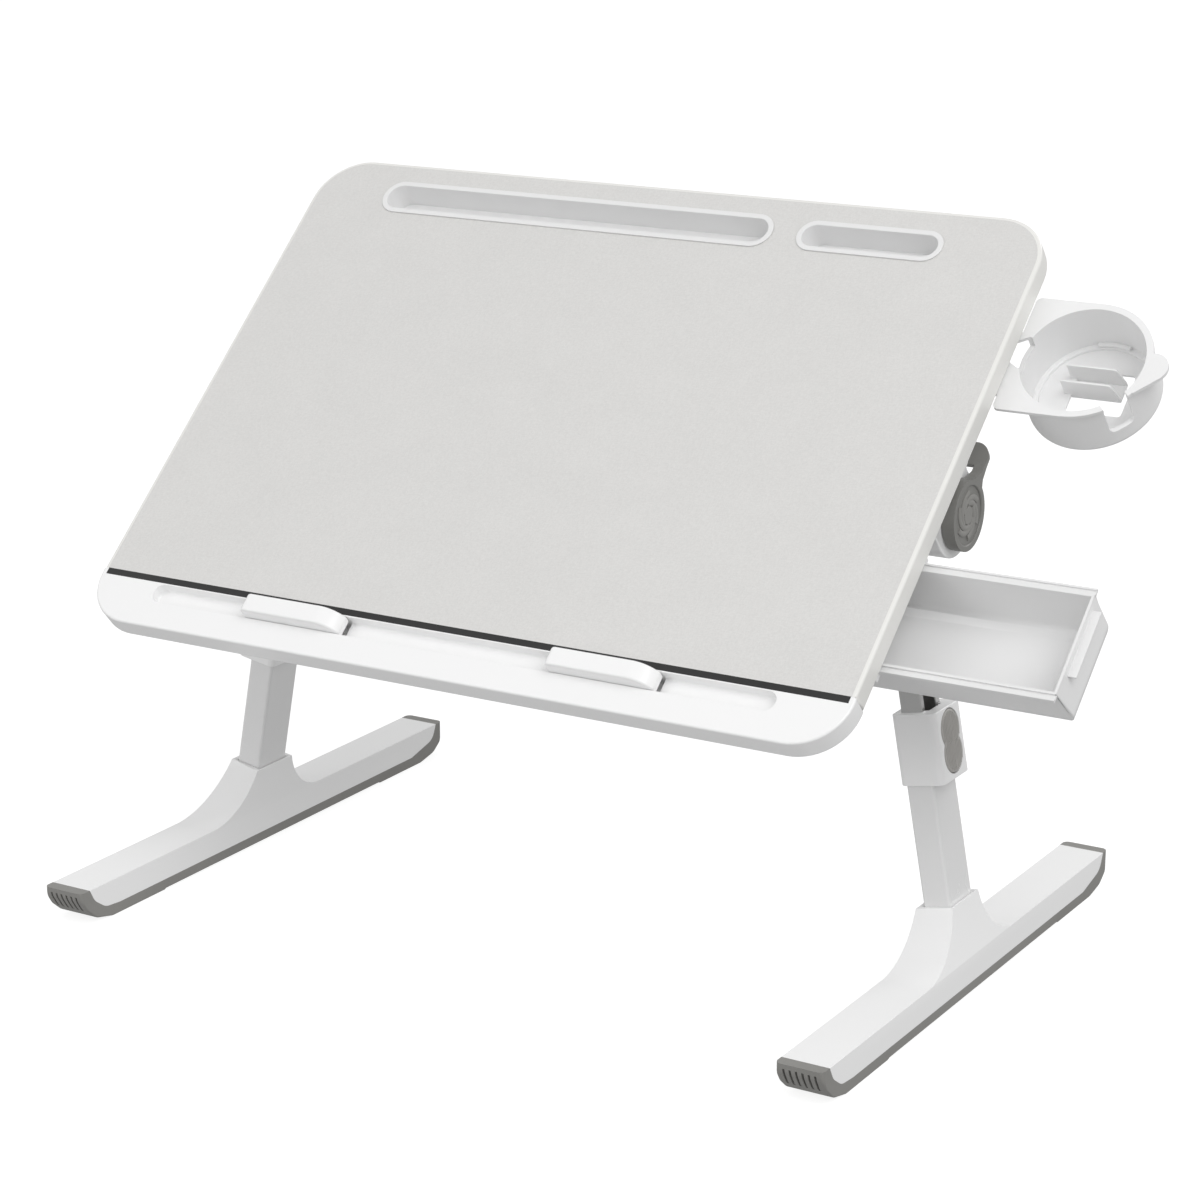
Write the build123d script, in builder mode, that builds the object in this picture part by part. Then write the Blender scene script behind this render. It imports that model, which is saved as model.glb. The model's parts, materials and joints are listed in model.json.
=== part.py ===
from build123d import *
import math
import os

# Lap desk: a tilting tabletop on two telescopic legs that fold flat under it.
# Table places are given as (u, v, n): u to the right, v up the slope from the front edge,
# n square to the surface, with the writing surface at n = 0 and the underside at -board_thick.
# Leg places are given as (x, y, z) from the leg's pivot: x outwards, z down along the leg.

# Where the table stands
front_z = 226.2
tilt = 41.45

# Tabletop
board_width = 600.0
board_depth = 431.6
board_thick = 17.0
band_thick = 3.0
rear_corner_r = 39.0
front_corner_r = 38.0

# Front rail with its groove and anti slip strip
rail_top_depth = 36.4
strip_width = 4.9
strip_side_gap = 3.7
strip_depth = 3.0
rail_side_rise = 0.6
apron_side_gap = 6.0
rail_apron_depth = 68.0
rail_apron_thick = 4.0
apron_rib_width = 1.6
apron_rib_rise = 1.0
groove_side_gap = 51.5
groove_width = 14.6
groove_depth = 8.5
groove_v = 28.0
groove_bend_r = 1.5

# Pop up stoppers
stopper_width = 14.0
stopper_v = 28.0
stopper_rise = 10.0
stopper_root = 5.2
stopper_nose_r = 21.9
stopper_nose_u = 61.6
stopper_heel_r = 4.0
stopper_gap = 0.3
stopper_pocket_depth = 15.6
left_stopper_u = -165.0
right_stopper_u = 82.5

# Pen trays
tray_rim_rise = 1.2
tray_rim_lap = 2.5
long_tray_rear_gap = 32.4
short_tray_rear_gap = 32.1
tray_floor_n = -20.0
tray_draft = 6.0
tray_wall = 1.6
long_tray_length = 332.0
long_tray_width = 29.5
long_tray_u = -71.0
short_tray_length = 112.0
short_tray_width = 27.0
short_tray_u = 170.6
tray_cover_height = 12.0
tray_cover_floor = 2.6
tray_boss_r = 3.0
tray_boss_bite = 5.0

# Screws
screw_shank_r = 1.3
screw_head_r = 2.4
screw_head_thick = 1.4
screw_bite = 8.0
rail_screw_side_gap = 12.0
rail_screw_middle_u = 139.0
rail_screw_vs = (42.5, 59.2)
long_cover_screw_us = (-229.7, -110.5, -16.0, 78.8)
short_cover_screw_us = (128.3, 214.8)
cover_screw_rear_gap = 27.6
bracket_screw_gaps = (9.0, 48.5, 83.5)
bracket_screw_inset = 7.0
guide_screw_gaps = (25.0, 87.0, 150.0)
guide_screw_rear_gap = 73.1

# Pivot bracket, right side
pivot_side_gap = 58.1
pivot_v = 219.0
pivot_drop = 33.0
base_length = 89.0
base_side_gap = 4.0
base_front = 175.0
base_rear_gap = 69.6
base_thick = 5.0
base_corner_r = 6.0
housing_length = 34.0
housing_side_gap = 11.0
housing_r = 30.0
housing_wall = 4.0
cavity_r = 21.0
collar_hole_r = 12.05
cover_thick = 4.0
cover_inset = 0.7
cover_hole_r = 4.06
cradle_side_gap = 82.0
cradle_gap = 31.0
cradle_thick = 3.0
cradle_height = 16.0

# Clutch ring, clamp pin and cam lever
ring_r = 19.4
ring_tooth = 1.2
ring_tooth_count = 24
ring_hub_r = 12.0
ring_bore_r = 9.05
ring_face_gap = 0.4
ring_thick = 17.1
ring_hub_gap = 0.3
clamp_r = 15.0
clamp_gap = 0.7
clamp_thick = 5.8
clamp_pin_r = 4.0
lever_gap = 0.3
lever_thick = 9.3
lever_r = 24.3
lever_dish_r = 20.0
lever_dish_depth = 1.2
lever_neck_low = (12.0, -14.0)
lever_neck_side = (20.6, -7.0)
lever_neck_bend = (23.4, -2.2)
lever_tab_low = (28.3, 1.9)
lever_tab_mid = (37.0, 3.6)
lever_tab_under = (46.0, 4.4)
lever_tab_end = (53.0, 6.6)
lever_tab_tip = (52.4, 10.0)
lever_tab_over = (45.0, 8.0)
lever_tab_top = (38.5, 6.9)
lever_tab_rise = (30.4, 7.4)
lever_tab_root = (25.0, 10.5)
lever_neck_high = (14.0, 18.0)
lever_neck_width = 7.6
lever_head_width = 23.1
lever_head_start = 36.0
lever_head_end = 52.4
lever_head_r = 10.0
lever_inner_r = 4.0

# Hinge drum, fold bolt and knuckle
drum_r = 27.0
drum_left = -13.0
drum_web = 10.3
drum_right = 12.8
spigot_r = 9.0
spigot_end = 34.0
ear_inner = 19.0
ear_outer = 27.0
ear_up = 8.0
ear_down = 14.0
saddle_up = 15.0
bolt_r = 4.0
bolt_head_r = 6.0
bolt_head_thick = 3.0
bolt_running_gap = 0.05
knuckle_r = 8.5
knuckle_half = 18.7
knuckle_neck_half = 18.0
knuckle_inner = -12.0
knuckle_outer = 5.0
knuckle_start = 3.0
knuckle_step = 33.0
knuckle_end = 38.0
knuckle_collar_outer = 9.0
knuckle_plug_end = 50.0

# Legs
splay = 10.42
inner_thick = 15.5
inner_width = 29.0
inner_wall = 2.0
inner_end = 213.0
inner_slot_half = 8.5
inner_slot_start = 53.0
core_start = 154.0
core_end = 212.0
core_notch_pitch = 9.2
core_notch_depth = 1.5
core_notch_length = 3.0
core_notch_count = 6
core_first_notch = 4.6
slide_gap = 0.3
outer_thick = 20.5
outer_width = 35.0
outer_start = 165.0
outer_end = 322.0

# Sleeve with its rocker button
sleeve_start = 140.0
sleeve_end = 190.0
sleeve_inner = -13.0
sleeve_outer = 20.0
sleeve_half = 21.0
sleeve_corner_r = 5.0
sleeve_mouth_reach = 11.2
sleeve_mouth_half = 10.0
sleeve_mouth_depth = 4.5
button_centre = 164.0
button_lobe_r = 13.5
button_lobe_gap = 8.5
button_waist = 22.0
button_waist_length = 14.0
button_low = 15.6
button_high = 20.4
button_gap = 0.7
button_well_floor = 12.0
button_axle_r = 1.5
button_axle_half = 14.6
button_axle_running = 0.05
button_axle_rise = 14.4
shoe_centre = 147.6
shoe_length = 5.0
shoe_width = 9.0
shoe_low = 8.4
shoe_hole_gap = 0.8
spring_start = 168.5
spring_end = 184.0
spring_width = 12.0
spring_thick = 0.8

# Feet
foot_side_gap = 2.05
foot_half = 17.2
foot_top = 27.5
sole_top = 8.3
foot_corner_r = 4.5
collar_start = 276.0
collar_thick = 26.7
collar_width = 42.0
front_flare_y = 118.0
rear_flare_y = 256.0
flare_join_drop = 2.0
shell_toe = (-25.0, 27.5)
shell_toe_low = (-20.0, 18.0)
shell_toe_root = (-8.0, 9.7)
shell_front = (8.0, 8.3)
shell_rear = (386.0, 8.3)
shell_heel_root = (417.0, 15.5)
shell_heel = (422.5, 27.5)
sole_toe = (-34.6, 27.5)
sole_toe_side = (-33.3, 21.0)
sole_toe_low = (-27.8, 12.5)
sole_toe_root = (-18.2, 4.2)
sole_front = (0.0, 0.0)
sole_front_pad = (60.0, 0.0)
sole_front_step = (62.0, 0.8)
sole_rear_step = (339.0, 0.8)
sole_rear_pad = (341.0, 0.0)
sole_rear = (400.0, 0.0)
sole_heel_root = (418.7, 3.5)
sole_heel_side = (431.8, 12.7)
sole_heel = (431.8, 27.5)
foot_wall = 3.0
foot_front_hollow = (-4.0, 168.0)
foot_rear_hollow = (226.0, 406.0)
foot_toe_bend_r = 14.0
foot_toe_low_r = 14.0
foot_heel_bend_r = 12.0
sole_bend_r = 12.5
cap_slot_count = 6
cap_slot_pitch = 4.5
cap_slot_width = 1.6
cap_slot_reach = 10.0
toe_slot_high = (-32.0, 23.8)
toe_slot_low = (-25.6, 11.2)
heel_slot_high = (430.0, 24.0)
heel_slot_low = (430.0, 12.4)

# Drawer and its runners
drawer_left_shift = -90.5
drawer_top_right_shift = 116.5
drawer_belly_right_shift = 120.5
drawer_belly_n = -48.0
drawer_low_right_shift = 118.0
drawer_low_n = -56.0
drawer_foot_right_shift = 111.0
drawer_rim_n = -19.6
drawer_base_n = -61.0
drawer_front_top = 78.2
drawer_front_low = 82.0
drawer_rear_top = 154.4
drawer_rear_low = 149.0
drawer_bend_r = 10.0
drawer_end_r = 10.0
drawer_wall = 2.0
drawer_ledge_width = 4.5
drawer_ledge_n = -21.0
drawer_ledge_thick = 1.5
drawer_bead_width = 1.4
drawer_bead_rise = 1.2
lip_right_shift = 123.0
lip_front = 95.0
lip_rear = 145.0
lip_n = -24.0
lip_thick = 1.5
runner_left_shift = -216.0
runner_right_shift = -3.5
runner_web = 5.0
runner_side_gap = 0.4
runner_reach = 4.3
runner_slot_gap = 0.3
runner_depth = 8.0
runner_stop = 2.0

# Cup holder and its guide
plate_n = -18.5
plate_thick = 2.5
plate_left_shift = -1.0
plate_front_gap = 47.6
plate_rear_gap = 47.4
plate_corner_r = 4.0
tongue_left_shift = -150.0
tongue_front_gap = 36.0
tongue_rear_gap = 17.1
well_u_shift = 47.6
well_rear_gap = 99.0
well_r = 42.7
well_wall = 3.3
well_floor_n = -58.0
well_floor_thick = 2.0
well_bend_r = 5.0
plate_round_r = 47.4
tab_reach = 47.6
tab_shift = -0.2
tab_r = 11.8
sweep_start = (42.3, -22.5)
sweep_end = (56.6, -8.0)
sweep_inside = (38.0, -10.0)
notch_angle = -43.4
notch_width = 18.4
notch_n = -45.0
notch_reach = 30.0
notch_bend_r = 4.0
hex_u_shift = 5.5
hex_shift = 0.6
hex_r = 13.4
hex_bottom_n = -27.0
opening_u_shift = 49.8
opening_shift = 2.6
opening_length = 39.4
opening_width = 34.6
wing_left_shift = 25.0
wing_right_top_shift = 61.3
wing_right_low_shift = 65.2
wing_thick = 1.6
wing_base_thick = 1.6
wing_corner_r = 3.0
opening_corner_r = 2.5
wing_top_n = -44.0
wing_shifts = (-0.1, 13.4)
guide_left_shift = -275.0
guide_right_shift = -116.0
guide_front_gap = 46.3
guide_rear_gap = 29.4
guide_channel_front_gap = 36.3
guide_channel_rear_gap = 17.4
guide_body_front_gap = 40.3
guide_body_rear_gap = 21.4
guide_flange_thick = 2.0
guide_height = 7.0
guide_channel_top = 1.2
guide_channel_low = 4.3
guide_channel_left_shift = -270.0

# Places that follow from the sizes above
right_edge_u = board_width / 2
strip_length = board_width - 2 * strip_side_gap
rail_width = board_width + 2 * rail_side_rise
rail_apron_width = board_width - 2 * apron_side_gap
groove_length = board_width - 2 * groove_side_gap
nose_run = math.sqrt(stopper_nose_r**2 - (stopper_nose_r - stopper_rise) ** 2)
stopper_length = stopper_nose_u + nose_run
rail_screw_outer_u = right_edge_u - rail_screw_side_gap
rail_screw_us = (-rail_screw_outer_u, -rail_screw_middle_u, rail_screw_middle_u, rail_screw_outer_u)
pivot_u = right_edge_u - pivot_side_gap
base_right = right_edge_u - base_side_gap
base_left = base_right - base_length
housing_right = right_edge_u - housing_side_gap
housing_left = housing_right - housing_length
cradle_left = right_edge_u - cradle_side_gap
bracket_screw_us = [base_left + gap for gap in bracket_screw_gaps]
foot_centre = right_edge_u - foot_side_gap
long_tray_v = board_depth - long_tray_rear_gap
short_tray_v = board_depth - short_tray_rear_gap
cover_screw_v = board_depth - cover_screw_rear_gap
drawer_left = right_edge_u + drawer_left_shift
drawer_top_right = right_edge_u + drawer_top_right_shift
drawer_belly_right = right_edge_u + drawer_belly_right_shift
drawer_low_right = right_edge_u + drawer_low_right_shift
drawer_foot_right = right_edge_u + drawer_foot_right_shift
lip_right = right_edge_u + lip_right_shift
runner_left = right_edge_u + runner_left_shift
runner_right = right_edge_u + runner_right_shift
plate_left = right_edge_u + plate_left_shift
tongue_left = right_edge_u + tongue_left_shift
well_u = right_edge_u + well_u_shift
hex_u = right_edge_u + hex_u_shift
opening_u = right_edge_u + opening_u_shift
wing_left = right_edge_u + wing_left_shift
wing_right_top = right_edge_u + wing_right_top_shift
wing_right_low = right_edge_u + wing_right_low_shift
guide_left = right_edge_u + guide_left_shift
guide_right = right_edge_u + guide_right_shift
guide_channel_left = right_edge_u + guide_channel_left_shift
well_v = board_depth - well_rear_gap
plate_front = well_v - plate_front_gap
plate_rear = well_v + plate_rear_gap
tongue_front = well_v - tongue_front_gap
tongue_rear = well_v + tongue_rear_gap
hex_v = well_v + hex_shift
opening_v = well_v + opening_shift
wing_vs = [well_v + shift for shift in wing_shifts]
base_rear = well_v - base_rear_gap
bracket_screw_vs = (base_front + bracket_screw_inset, base_rear - bracket_screw_inset)
guide_front = well_v - guide_front_gap
guide_rear = well_v + guide_rear_gap
guide_channel_front = well_v - guide_channel_front_gap
guide_channel_rear = well_v + guide_channel_rear_gap
guide_body_front = well_v - guide_body_front_gap
guide_body_rear = well_v + guide_body_rear_gap
cup_rail_screw_v = board_depth - guide_screw_rear_gap
cup_rail_screw_us = [guide_left + gap for gap in guide_screw_gaps]
ring_face_u = housing_left + housing_wall + ring_face_gap
ring_hub_u = housing_left + ring_hub_gap
ring_end_u = ring_face_u + ring_thick
clamp_left = ring_end_u + clamp_gap
clamp_right = clamp_left + clamp_thick
lever_left = housing_right + lever_gap
lever_right = lever_left + lever_thick

# The origin lies on the floor, midway between the left foot and the drawer's lip, and between
# the toe and heel of the soles
middle_x = (foot_centre + foot_half - lip_right) / 2
front_y = -(sole_toe[0] + sole_heel[0]) / 2

# Directions
tilt_angle = math.radians(tilt)
splay_angle = math.radians(splay)
along_u = Vector(1, 0, 0)
along_v = Vector(0, math.cos(tilt_angle), math.sin(tilt_angle))
along_n = Vector(0, -math.sin(tilt_angle), math.cos(tilt_angle))
down_leg = Vector(math.sin(splay_angle), 0, -math.cos(splay_angle))
out_of_leg = Vector(math.cos(splay_angle), 0, math.sin(splay_angle))

# Base planes
floor = Plane(origin=(middle_x, front_y, 0))
centre = Plane(origin=(middle_x, 0, 0), x_dir=(0, 1, 0), z_dir=(1, 0, 0))
table = Plane(origin=(middle_x, front_y, front_z), x_dir=along_u, z_dir=along_n)
underside = table.offset(-board_thick)
pivot = table.from_local_coords(Vector(pivot_u, pivot_v, -board_thick - pivot_drop))
leg = Plane(origin=pivot, x_dir=out_of_leg, z_dir=down_leg)


def table_across(u):
    """Return the plane square to u, with v to the right and n upwards."""
    return Plane(origin=table.from_local_coords(Vector(u, 0, 0)), x_dir=along_v, z_dir=along_u)


def table_along(v):
    """Return the plane square to v, with u to the right and n upwards, facing the front."""
    return Plane(origin=table.from_local_coords(Vector(0, v, 0)), x_dir=along_u, z_dir=-along_v)


def clutch_across(u):
    """Return the plane square to u, with its origin on the tilt axis, v right and n upwards."""
    axis_place = Vector(u, pivot_v, -board_thick - pivot_drop)
    return Plane(origin=table.from_local_coords(axis_place), x_dir=along_v, z_dir=along_u)


def pivot_across(x):
    """Return the upright plane square to x at a distance outwards from the pivot."""
    return Plane(origin=pivot + Vector(x, 0, 0), x_dir=(0, 1, 0), z_dir=(1, 0, 0))


def pivot_facing(y):
    """Return the upright plane that faces the front at a distance behind the pivot."""
    return Plane(origin=pivot + Vector(0, y, 0), x_dir=(1, 0, 0), z_dir=(0, -1, 0))


def foot_side(x):
    """Return the upright plane square to x, with the front edge's y and the floor's z."""
    return Plane(origin=(middle_x + x, front_y, 0), x_dir=(0, 1, 0), z_dir=(1, 0, 0))


def screw_set(us, vs, face_n, length):
    """Return flat headed screws with their heads flush in a face under the table."""
    places = [(u, v) for u in us for v in vs]
    with BuildPart() as screws:
        with BuildSketch(table.offset(face_n)):
            with Locations(places):
                Circle(screw_head_r)
        extrude(amount=screw_head_thick)
        with BuildSketch(table.offset(face_n)):
            with Locations(places):
                Circle(screw_shank_r)
        extrude(amount=length)
    return screws


os.makedirs("parts", exist_ok=True)

# Screws of the rail, the tray covers, the brackets and the cup guide
both_bracket_us = [side * u for side in (-1, 1) for u in bracket_screw_us]
rail_screws = screw_set(
    rail_screw_us, rail_screw_vs, -board_thick - rail_apron_thick, rail_apron_thick + screw_bite
)
cover_screws = screw_set(
    long_cover_screw_us + short_cover_screw_us,
    (cover_screw_v,),
    -board_thick - tray_cover_height,
    tray_cover_floor + tray_boss_bite,
)
bracket_screws = screw_set(
    both_bracket_us, bracket_screw_vs, -board_thick - base_thick, base_thick + screw_bite
)
guide_screws = screw_set(
    cup_rail_screw_us,
    (cup_rail_screw_v,),
    -board_thick - guide_flange_thick,
    guide_flange_thick + screw_bite,
)
screw_nodes = (
    ("rail_screws", rail_screws),
    ("cover_screws", cover_screws),
    ("bracket_screws", bracket_screws),
    ("guide_screws", guide_screws),
)
for screw_name, screws in screw_nodes:
    screws.part.label = screw_name
    export_step(screws.part, f"parts/{screw_name}.step")

# Board: the flat core, open where the pen trays pass through
core_front = rail_top_depth + strip_width
with BuildPart() as desk_board:
    with BuildSketch(underside) as board_outline:
        with Locations((0, core_front)):
            Rectangle(
                board_width - 2 * band_thick,
                board_depth - band_thick - core_front,
                align=(Align.CENTER, Align.MIN),
            )
        fillet(board_outline.vertices().group_by(Axis.Y)[-1], rear_corner_r - band_thick)
    extrude(amount=board_thick)
    with BuildSketch(underside):
        with Locations((long_tray_u, long_tray_v)):
            SlotOverall(long_tray_length - 2 * tray_rim_lap, long_tray_width - 2 * tray_rim_lap)
        with Locations((short_tray_u, short_tray_v)):
            SlotOverall(short_tray_length - 2 * tray_rim_lap, short_tray_width - 2 * tray_rim_lap)
    extrude(amount=board_thick, mode=Mode.SUBTRACT)
    for screws in (rail_screws, bracket_screws, guide_screws):
        add(screws.part, mode=Mode.SUBTRACT)
desk_board.part.label = "desk_board"
export_step(desk_board.part, "parts/desk_board.step")

# Edge band round the board's two sides and rear
with BuildPart() as edge_band:
    with BuildSketch(underside) as band_outline:
        with Locations((0, core_front)):
            Rectangle(board_width, board_depth - core_front, align=(Align.CENTER, Align.MIN))
        fillet(band_outline.vertices().group_by(Axis.Y)[-1], rear_corner_r)
        with BuildSketch(Plane.XY, mode=Mode.SUBTRACT) as band_inside:
            with Locations((0, core_front)):
                Rectangle(
                    board_width - 2 * band_thick,
                    board_depth - band_thick - core_front,
                    align=(Align.CENTER, Align.MIN),
                )
            fillet(band_inside.vertices().group_by(Axis.Y)[-1], rear_corner_r - band_thick)
    extrude(amount=board_thick)
edge_band.part.label = "edge_band"
export_step(edge_band.part, "parts/edge_band.step")

# Front rail: moulded nose with groove, stopper pockets, strip seat and a screwed apron below
with BuildPart() as groove_space:
    with BuildSketch(table):
        with Locations((0, groove_v)):
            SlotOverall(groove_length, groove_width)
    extrude(amount=-groove_depth)
    groove_floor = groove_space.faces().sort_by(Axis(table.origin, table.z_dir))[0]
    fillet(groove_floor.edges(), groove_bend_r)
with BuildPart() as front_rail:
    with BuildSketch(underside) as rail_outline:
        Rectangle(rail_width, core_front, align=(Align.CENTER, Align.MIN))
        fillet(rail_outline.vertices().group_by(Axis.Y)[0], front_corner_r)
    extrude(amount=board_thick)
    with BuildSketch(underside.offset(-rail_apron_thick)) as apron_outline:
        with Locations((0, front_corner_r / 2)):
            Rectangle(
                rail_apron_width, rail_apron_depth - front_corner_r / 2, align=(Align.CENTER, Align.MIN)
            )
    extrude(amount=rail_apron_thick)
    with BuildSketch(underside.offset(-rail_apron_thick)):
        with Locations((0, front_corner_r), (0, rail_apron_depth - apron_rib_width)):
            Rectangle(rail_apron_width, apron_rib_width)
    extrude(amount=-apron_rib_rise)
    with BuildSketch(table):
        with Locations((0, rail_top_depth)):
            Rectangle(strip_length, strip_width, align=(Align.CENTER, Align.MIN))
    extrude(amount=-strip_depth, mode=Mode.SUBTRACT)
    add(groove_space.part, mode=Mode.SUBTRACT)
    with BuildSketch(table):
        with Locations((left_stopper_u, stopper_v), (right_stopper_u, stopper_v)):
            with Locations((-stopper_gap, 0)):
                Rectangle(
                    stopper_length + 2 * stopper_gap,
                    stopper_width + 2 * stopper_gap,
                    align=(Align.MIN, Align.CENTER),
                )
    extrude(amount=-stopper_pocket_depth, mode=Mode.SUBTRACT)
    add(rail_screws.part, mode=Mode.SUBTRACT)
front_rail.part.label = "front_rail"
export_step(front_rail.part, "parts/front_rail.step")

# Anti slip strip between the rail and the writing surface
with BuildPart() as grip_strip:
    with BuildSketch(table):
        with Locations((0, rail_top_depth)):
            Rectangle(strip_length, strip_width, align=(Align.CENTER, Align.MIN))
    extrude(amount=-strip_depth)
grip_strip.part.label = "grip_strip"
export_step(grip_strip.part, "parts/grip_strip.step")

# Stoppers: sliding bars with a square heel and a rounded nose
for stopper_name, stopper_u in (("stopper_left", left_stopper_u), ("stopper_right", right_stopper_u)):
    with BuildPart() as stopper:
        with BuildSketch(table_along(stopper_v + stopper_width / 2)) as stopper_side:
            with BuildLine():
                nose_top = (stopper_u + stopper_nose_u, stopper_rise)
                nose_end = (stopper_u + stopper_length, 0)
                Line((stopper_u, -stopper_root), (stopper_u, stopper_rise))
                Line((stopper_u, stopper_rise), nose_top)
                nose_arc = TangentArc(nose_top, nose_end, tangent=(1, 0))
                Line(nose_end, (stopper_u + stopper_length, -stopper_root))
                Line((stopper_u + stopper_length, -stopper_root), (stopper_u, -stopper_root))
            make_face()
            fillet(stopper_side.vertices().group_by(Axis.Y)[-1].sort_by(Axis.X)[0], stopper_heel_r)
        extrude(amount=stopper_width)
    stopper.part.label = stopper_name
    export_step(stopper.part, f"parts/{stopper_name}.step")

# Pen trays: a rim on the board, a trough through it, and a closed cover box below
trays = (
    ("long", long_tray_u, long_tray_v, long_tray_length, long_tray_width, long_cover_screw_us),
    ("short", short_tray_u, short_tray_v, short_tray_length, short_tray_width, short_cover_screw_us),
)
for tray_name, tray_u, tray_v, tray_length, tray_width, boss_us in trays:
    trough_length = tray_length - 2 * tray_rim_lap
    trough_width = tray_width - 2 * tray_rim_lap
    with BuildPart() as pen_tray:
        with BuildSketch(table):
            with Locations((tray_u, tray_v)):
                SlotOverall(tray_length, tray_width)
        extrude(amount=tray_rim_rise)
        with BuildSketch(table):
            with Locations((tray_u, tray_v)):
                SlotOverall(trough_length, trough_width)
        extrude(amount=tray_floor_n, taper=tray_draft)
        with BuildSketch(table.offset(tray_floor_n)):
            with Locations([(boss_u, cover_screw_v) for boss_u in boss_us]):
                Circle(tray_boss_r)
        extrude(amount=tray_cover_floor - tray_cover_height - board_thick - tray_floor_n)
        with BuildSketch(table):
            with Locations((tray_u, tray_v)):
                SlotOverall(trough_length - 2 * tray_wall, trough_width - 2 * tray_wall)
        extrude(amount=tray_floor_n + tray_wall, taper=tray_draft, mode=Mode.SUBTRACT)
        with BuildSketch(table):
            with Locations((tray_u, tray_v)):
                SlotOverall(trough_length - 2 * tray_wall, trough_width - 2 * tray_wall)
        extrude(amount=tray_rim_rise, mode=Mode.SUBTRACT)
        add(cover_screws.part, mode=Mode.SUBTRACT)
    pen_tray.part.label = f"pen_tray_{tray_name}"
    export_step(pen_tray.part, f"parts/pen_tray_{tray_name}.step")

    with BuildPart() as tray_cover:
        with BuildSketch(underside):
            with Locations((tray_u, tray_v)):
                SlotOverall(tray_length, tray_width)
        extrude(amount=-tray_cover_height)
        with BuildSketch(underside):
            with Locations((tray_u, tray_v)):
                SlotOverall(trough_length, trough_width)
        extrude(amount=tray_cover_floor - tray_cover_height, mode=Mode.SUBTRACT)
        add(cover_screws.part, mode=Mode.SUBTRACT)
    tray_cover.part.label = f"tray_cover_{tray_name}"
    export_step(tray_cover.part, f"parts/tray_cover_{tray_name}.step")

# Drawer: a tapered tray with ledges along its front and rear walls and a pull lip
with BuildPart() as drawer_hollow:
    with BuildSketch(table_across(drawer_left + drawer_wall)) as hollow_section:
        with BuildLine():
            Polyline(
                (drawer_front_top + drawer_wall, drawer_rim_n),
                (drawer_front_low + drawer_wall, drawer_base_n + drawer_wall),
                (drawer_rear_low - drawer_wall, drawer_base_n + drawer_wall),
                (drawer_rear_top - drawer_wall, drawer_rim_n),
                close=True,
            )
        make_face()
        fillet(hollow_section.vertices().group_by(Axis.Y)[0], drawer_bend_r - drawer_wall)
    extrude(amount=drawer_belly_right - drawer_left)
    with BuildSketch(table_along(drawer_rear_top)) as hollow_profile:
        with BuildLine():
            Polyline(
                (drawer_left, drawer_rim_n),
                (drawer_top_right - drawer_wall, drawer_rim_n),
                (drawer_belly_right - drawer_wall, drawer_belly_n),
                (drawer_low_right - drawer_wall, drawer_low_n + drawer_wall / 2),
                (drawer_foot_right - drawer_wall, drawer_base_n + drawer_wall),
                (drawer_left, drawer_base_n + drawer_wall),
                close=True,
            )
        make_face()
        hollow_turns = [
            vertex
            for vertex in hollow_profile.vertices()
            if vertex.X > drawer_left + drawer_wall and vertex.Y < drawer_rim_n - drawer_wall
        ]
        fillet(hollow_turns, drawer_end_r - drawer_wall)
    extrude(amount=drawer_rear_top - drawer_front_top, mode=Mode.INTERSECT)

with BuildPart() as drawer:
    with BuildSketch(table_across(drawer_left)) as drawer_section:
        with BuildLine():
            Polyline(
                (drawer_front_top, drawer_rim_n),
                (drawer_front_low, drawer_base_n),
                (drawer_rear_low, drawer_base_n),
                (drawer_rear_top, drawer_rim_n),
                close=True,
            )
        make_face()
        fillet(drawer_section.vertices().group_by(Axis.Y)[0], drawer_bend_r)
    extrude(amount=drawer_belly_right - drawer_left)
    with BuildSketch(table_along(drawer_rear_top)) as drawer_profile:
        with BuildLine():
            Polyline(
                (drawer_left, drawer_rim_n),
                (drawer_top_right, drawer_rim_n),
                (drawer_belly_right, drawer_belly_n),
                (drawer_low_right, drawer_low_n),
                (drawer_foot_right, drawer_base_n),
                (drawer_left, drawer_base_n),
                close=True,
            )
        make_face()
        end_turns = [
            vertex
            for vertex in drawer_profile.vertices()
            if vertex.X > drawer_left + drawer_wall and vertex.Y < drawer_rim_n - drawer_wall
        ]
        fillet(end_turns, drawer_end_r)
    extrude(amount=drawer_rear_top - drawer_front_top, mode=Mode.INTERSECT)
    add(drawer_hollow.part, mode=Mode.SUBTRACT)
    with BuildSketch(table.offset(drawer_ledge_n)):
        with Locations((drawer_left, drawer_front_top - drawer_ledge_width)):
            Rectangle(
                drawer_top_right - drawer_left,
                drawer_ledge_width + drawer_wall / 2,
                align=(Align.MIN, Align.MIN),
            )
        with Locations((drawer_left, drawer_rear_top + drawer_ledge_width)):
            Rectangle(
                drawer_top_right - drawer_left,
                drawer_ledge_width + drawer_wall / 2,
                align=(Align.MIN, Align.MAX),
            )
    extrude(amount=-drawer_ledge_thick)
    with BuildSketch(table.offset(drawer_ledge_n + drawer_bead_rise)):
        with Locations((drawer_left, drawer_front_top - drawer_ledge_width)):
            Rectangle(drawer_top_right - drawer_left, drawer_bead_width, align=(Align.MIN, Align.MIN))
        with Locations((drawer_left, drawer_rear_top + drawer_ledge_width)):
            Rectangle(drawer_top_right - drawer_left, drawer_bead_width, align=(Align.MIN, Align.MAX))
    extrude(amount=-drawer_bead_rise - drawer_ledge_thick)
    with BuildSketch(table.offset(lip_n)):
        with Locations((drawer_top_right, (lip_front + lip_rear) / 2)):
            Rectangle(lip_right - drawer_top_right, lip_rear - lip_front, align=(Align.MIN, Align.CENTER))
    extrude(amount=-lip_thick)
drawer.part.label = "drawer"
export_step(drawer.part, "parts/drawer.step")

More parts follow.
